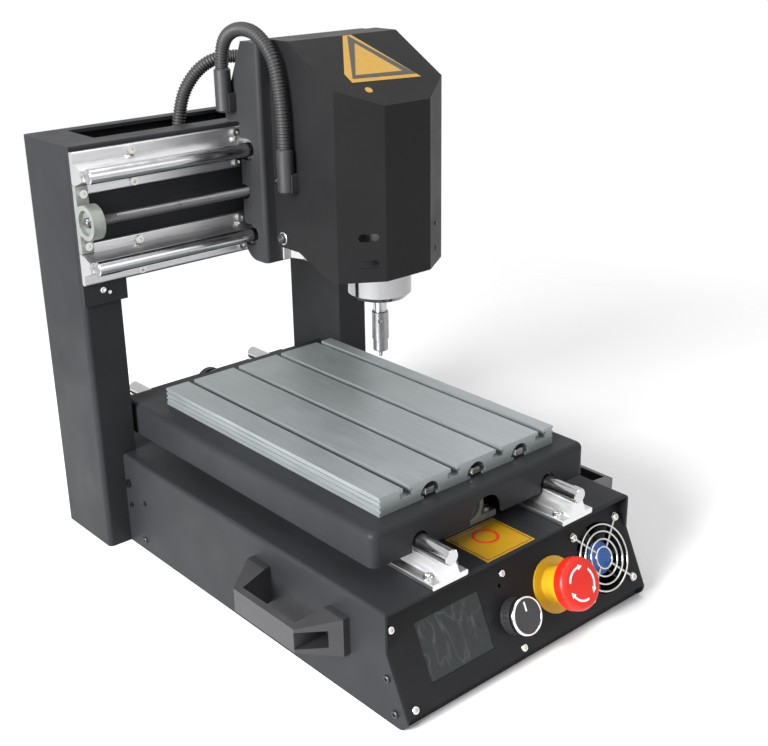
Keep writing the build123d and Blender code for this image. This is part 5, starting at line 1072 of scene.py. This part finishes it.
@dataclass
class Studio:
    """Pale floor, soft lamps and a camera at the photograph's place."""

    eye: Point = (-0.5753, -0.7355, 0.5288)
    right: Point = (0.75272, -0.65815, -0.01586)
    down: Point = (-0.25387, -0.26796, -0.92938)
    ahead: Point = (0.60742, 0.70359, -0.36879)
    focal_px: float = 1212.04
    centre_px: tuple[float, float] = (381.57, 372.45)
    image_px: tuple[int, int] = (768, 746)
    sensor: float = 36.0
    aim: Point = (0.0, 0.0, 0.2)
    even_light: float = 0.33
    floor_reach: float = 4.0
    floor_drop: float = 0.2 * MM
    fade: tuple[float, float] = (0.42, 0.95)

    def camera(self) -> None:
        """Sets the camera: its focal length is the sensor's width times focal pixels over image width."""
        data = bpy.data.cameras.new("photo_camera")
        data.sensor_width = self.sensor
        data.lens = self.sensor * self.focal_px / self.image_px[0]
        data.shift_x = (self.image_px[0] / 2 - self.centre_px[0]) / self.image_px[0]
        data.shift_y = (self.centre_px[1] - self.image_px[1] / 2) / self.image_px[0]
        data.clip_start = 0.05
        camera = bpy.data.objects.new("photo_camera", data)
        turn = np.stack([np.array(self.right), -np.array(self.down), -np.array(self.ahead)], axis=1)
        matrix = np.eye(4)
        matrix[:3, :3] = turn
        matrix[:3, 3] = self.eye
        camera.matrix_world = Matrix(matrix.tolist())
        bpy.context.collection.objects.link(camera)
        bpy.context.scene.camera = camera

    def lamp(self, lamp: Lamp) -> None:
        """Hangs a lamp so that it faces the machine.

        Args:
            lamp: the lamp.
        """
        data = bpy.data.lights.new(lamp.name, "AREA")
        data.shape = "SQUARE"
        data.size = lamp.size
        data.energy = lamp.power
        made = bpy.data.objects.new(lamp.name, data)
        axes = basis(tuple(np.array(lamp.place) - np.array(self.aim)), (0.1, 0.9, 0.3))
        matrix = np.eye(4)
        matrix[:3, :3] = np.stack(axes, axis=1)
        matrix[:3, 3] = lamp.place
        made.matrix_world = Matrix(matrix.tolist())
        bpy.context.collection.objects.link(made)

    def world(self) -> None:
        """Lights the scene evenly and shows white to camera, mirror and glass rays."""
        world = bpy.data.worlds.new("studio")
        bpy.context.scene.world = world
        world.use_nodes = True
        tree = world.node_tree
        tree.nodes.clear()
        output = tree.nodes.new("ShaderNodeOutputWorld")
        even = tree.nodes.new("ShaderNodeBackground")
        even.inputs["Color"].default_value = (1.0, 1.0, 1.0, 1.0)
        even.inputs["Strength"].default_value = self.even_light
        white = tree.nodes.new("ShaderNodeBackground")
        white.inputs["Color"].default_value = (1.0, 1.0, 1.0, 1.0)
        white.inputs["Strength"].default_value = 1.0
        mix = tree.nodes.new("ShaderNodeMixShader")
        path = tree.nodes.new("ShaderNodeLightPath")
        seen = path.outputs["Is Camera Ray"]
        for ray in ("Is Glossy Ray", "Is Transmission Ray"):
            either = tree.nodes.new("ShaderNodeMath")
            either.operation = "ADD"
            either.use_clamp = True
            tree.links.new(seen, either.inputs[0])
            tree.links.new(path.outputs[ray], either.inputs[1])
            seen = either.outputs[0]
        tree.links.new(seen, mix.inputs[0])
        tree.links.new(even.outputs[0], mix.inputs[1])
        tree.links.new(white.outputs[0], mix.inputs[2])
        tree.links.new(mix.outputs[0], output.inputs["Surface"])

    def floor(self) -> None:
        """Lays the pale floor, which fades into the white background."""
        reach = np.linspace(-self.floor_reach, self.floor_reach, 9)
        x, y = np.meshgrid(reach, reach, indexing="ij")
        made = surface("floor", np.stack([x, y, np.full_like(x, -self.floor_drop)], axis=-1), smooth=False)
        graph = NodeGraph("floor_paper")
        tone = graph.noise(3.0, 2.0)
        graph.link(graph.blend_colour(tone, (0.93, 0.93, 0.93), (0.95, 0.95, 0.95)),
                   graph.shader.inputs["Base Color"])
        graph.set(Roughness=0.9, Specular_IOR_Level=0.1)
        size = graph.tree.nodes.new("ShaderNodeVectorMath")
        size.operation = "LENGTH"
        graph.link(graph.coords, size.inputs[0])
        clear = graph.tree.nodes.new("ShaderNodeBsdfTransparent")
        fade = graph.tree.nodes.new("ShaderNodeMixShader")
        graph.link(graph.spread(size.outputs["Value"], 0.0, 1.0, *self.fade), fade.inputs[0])
        graph.link(graph.shader.outputs["BSDF"], fade.inputs[1])
        graph.link(clear.outputs["BSDF"], fade.inputs[2])
        graph.link(fade.outputs[0], graph.output.inputs["Surface"])
        made.data.materials.append(graph.material)

    def build(self) -> None:
        """Sets up the whole studio."""
        self.camera()
        self.floor()
        self.world()
        for lamp in LAMPS:
            self.lamp(lamp)
        bpy.context.scene.view_settings.view_transform = "Standard"


def hoses() -> list[Hose]:
    """The two hoses: one from the carriage to the hood, one from the beam to the carriage.

    Returns:
        The hoses, with the same routes as their solids.
    """
    elbow, hood_side, carriage_side = 7.0, 10.2, 2.9
    hood_x, rear_x = (hood_side - elbow) * MM, (carriage_side - elbow) * MM
    head = [(rear_x, 0.121, 0.396), (rear_x, 0.121, 0.416), (rear_x + 0.002, 0.100, 0.430),
            (hood_x - 0.002, 0.072, 0.426), (hood_x, 0.049, 0.395), (hood_x, 0.049, 0.338)]
    beam = [(-0.024, 0.172, 0.250), (-0.024, 0.172, 0.352), (0.004, 0.166, 0.398), (0.046, 0.150, 0.400),
            (0.046, 0.0930, 0.400)]
    return [
        Hose("head_hose", "hose_head", head, ("cross_carriage", "head"), (0.0, 0.110, 0.42),
             (0.0, 0.055, 0.42)),
        Hose("beam_hose", "hose_beam", beam, ("frame", "cross_carriage"), (0.0, 0.172, 0.27),
             (0.040, 0.120, 0.40), across=(1.0, 1.0, -0.4)),
    ]


def screws() -> list[LeadScrew]:
    """The two threaded bars in sight, in the places of their plain nodes."""
    return [
        LeadScrew("x_thread", "x_screw", "x_lead", (-0.149, 0.1065, 0.2935), (1, 0, 0), 0.319),
        LeadScrew("z_thread", "z_screw", "z_lead", (0.0674, 0.0585, 0.258), (0, 0, 1), 0.130),
    ]


def main() -> None:
    """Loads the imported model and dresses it."""
    logging.basicConfig(level=logging.INFO, format="%(name)s %(message)s")
    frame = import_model()
    Studio().build()
    dresser = Dresser(FinishBook())
    for hose in hoses():
        hose.build(dresser)
    dresser.nodes(frame["nodes"])
    for screw in screws():
        screw.build(dresser)
    ControlPanel().build(dresser)
    HoodTrim().build(dresser)
    BeamTrim().build(dresser)
    BaseNotice().build(dresser)
    log.info("%d pieces made", dresser.count)


if __name__ == "__main__":
    main()
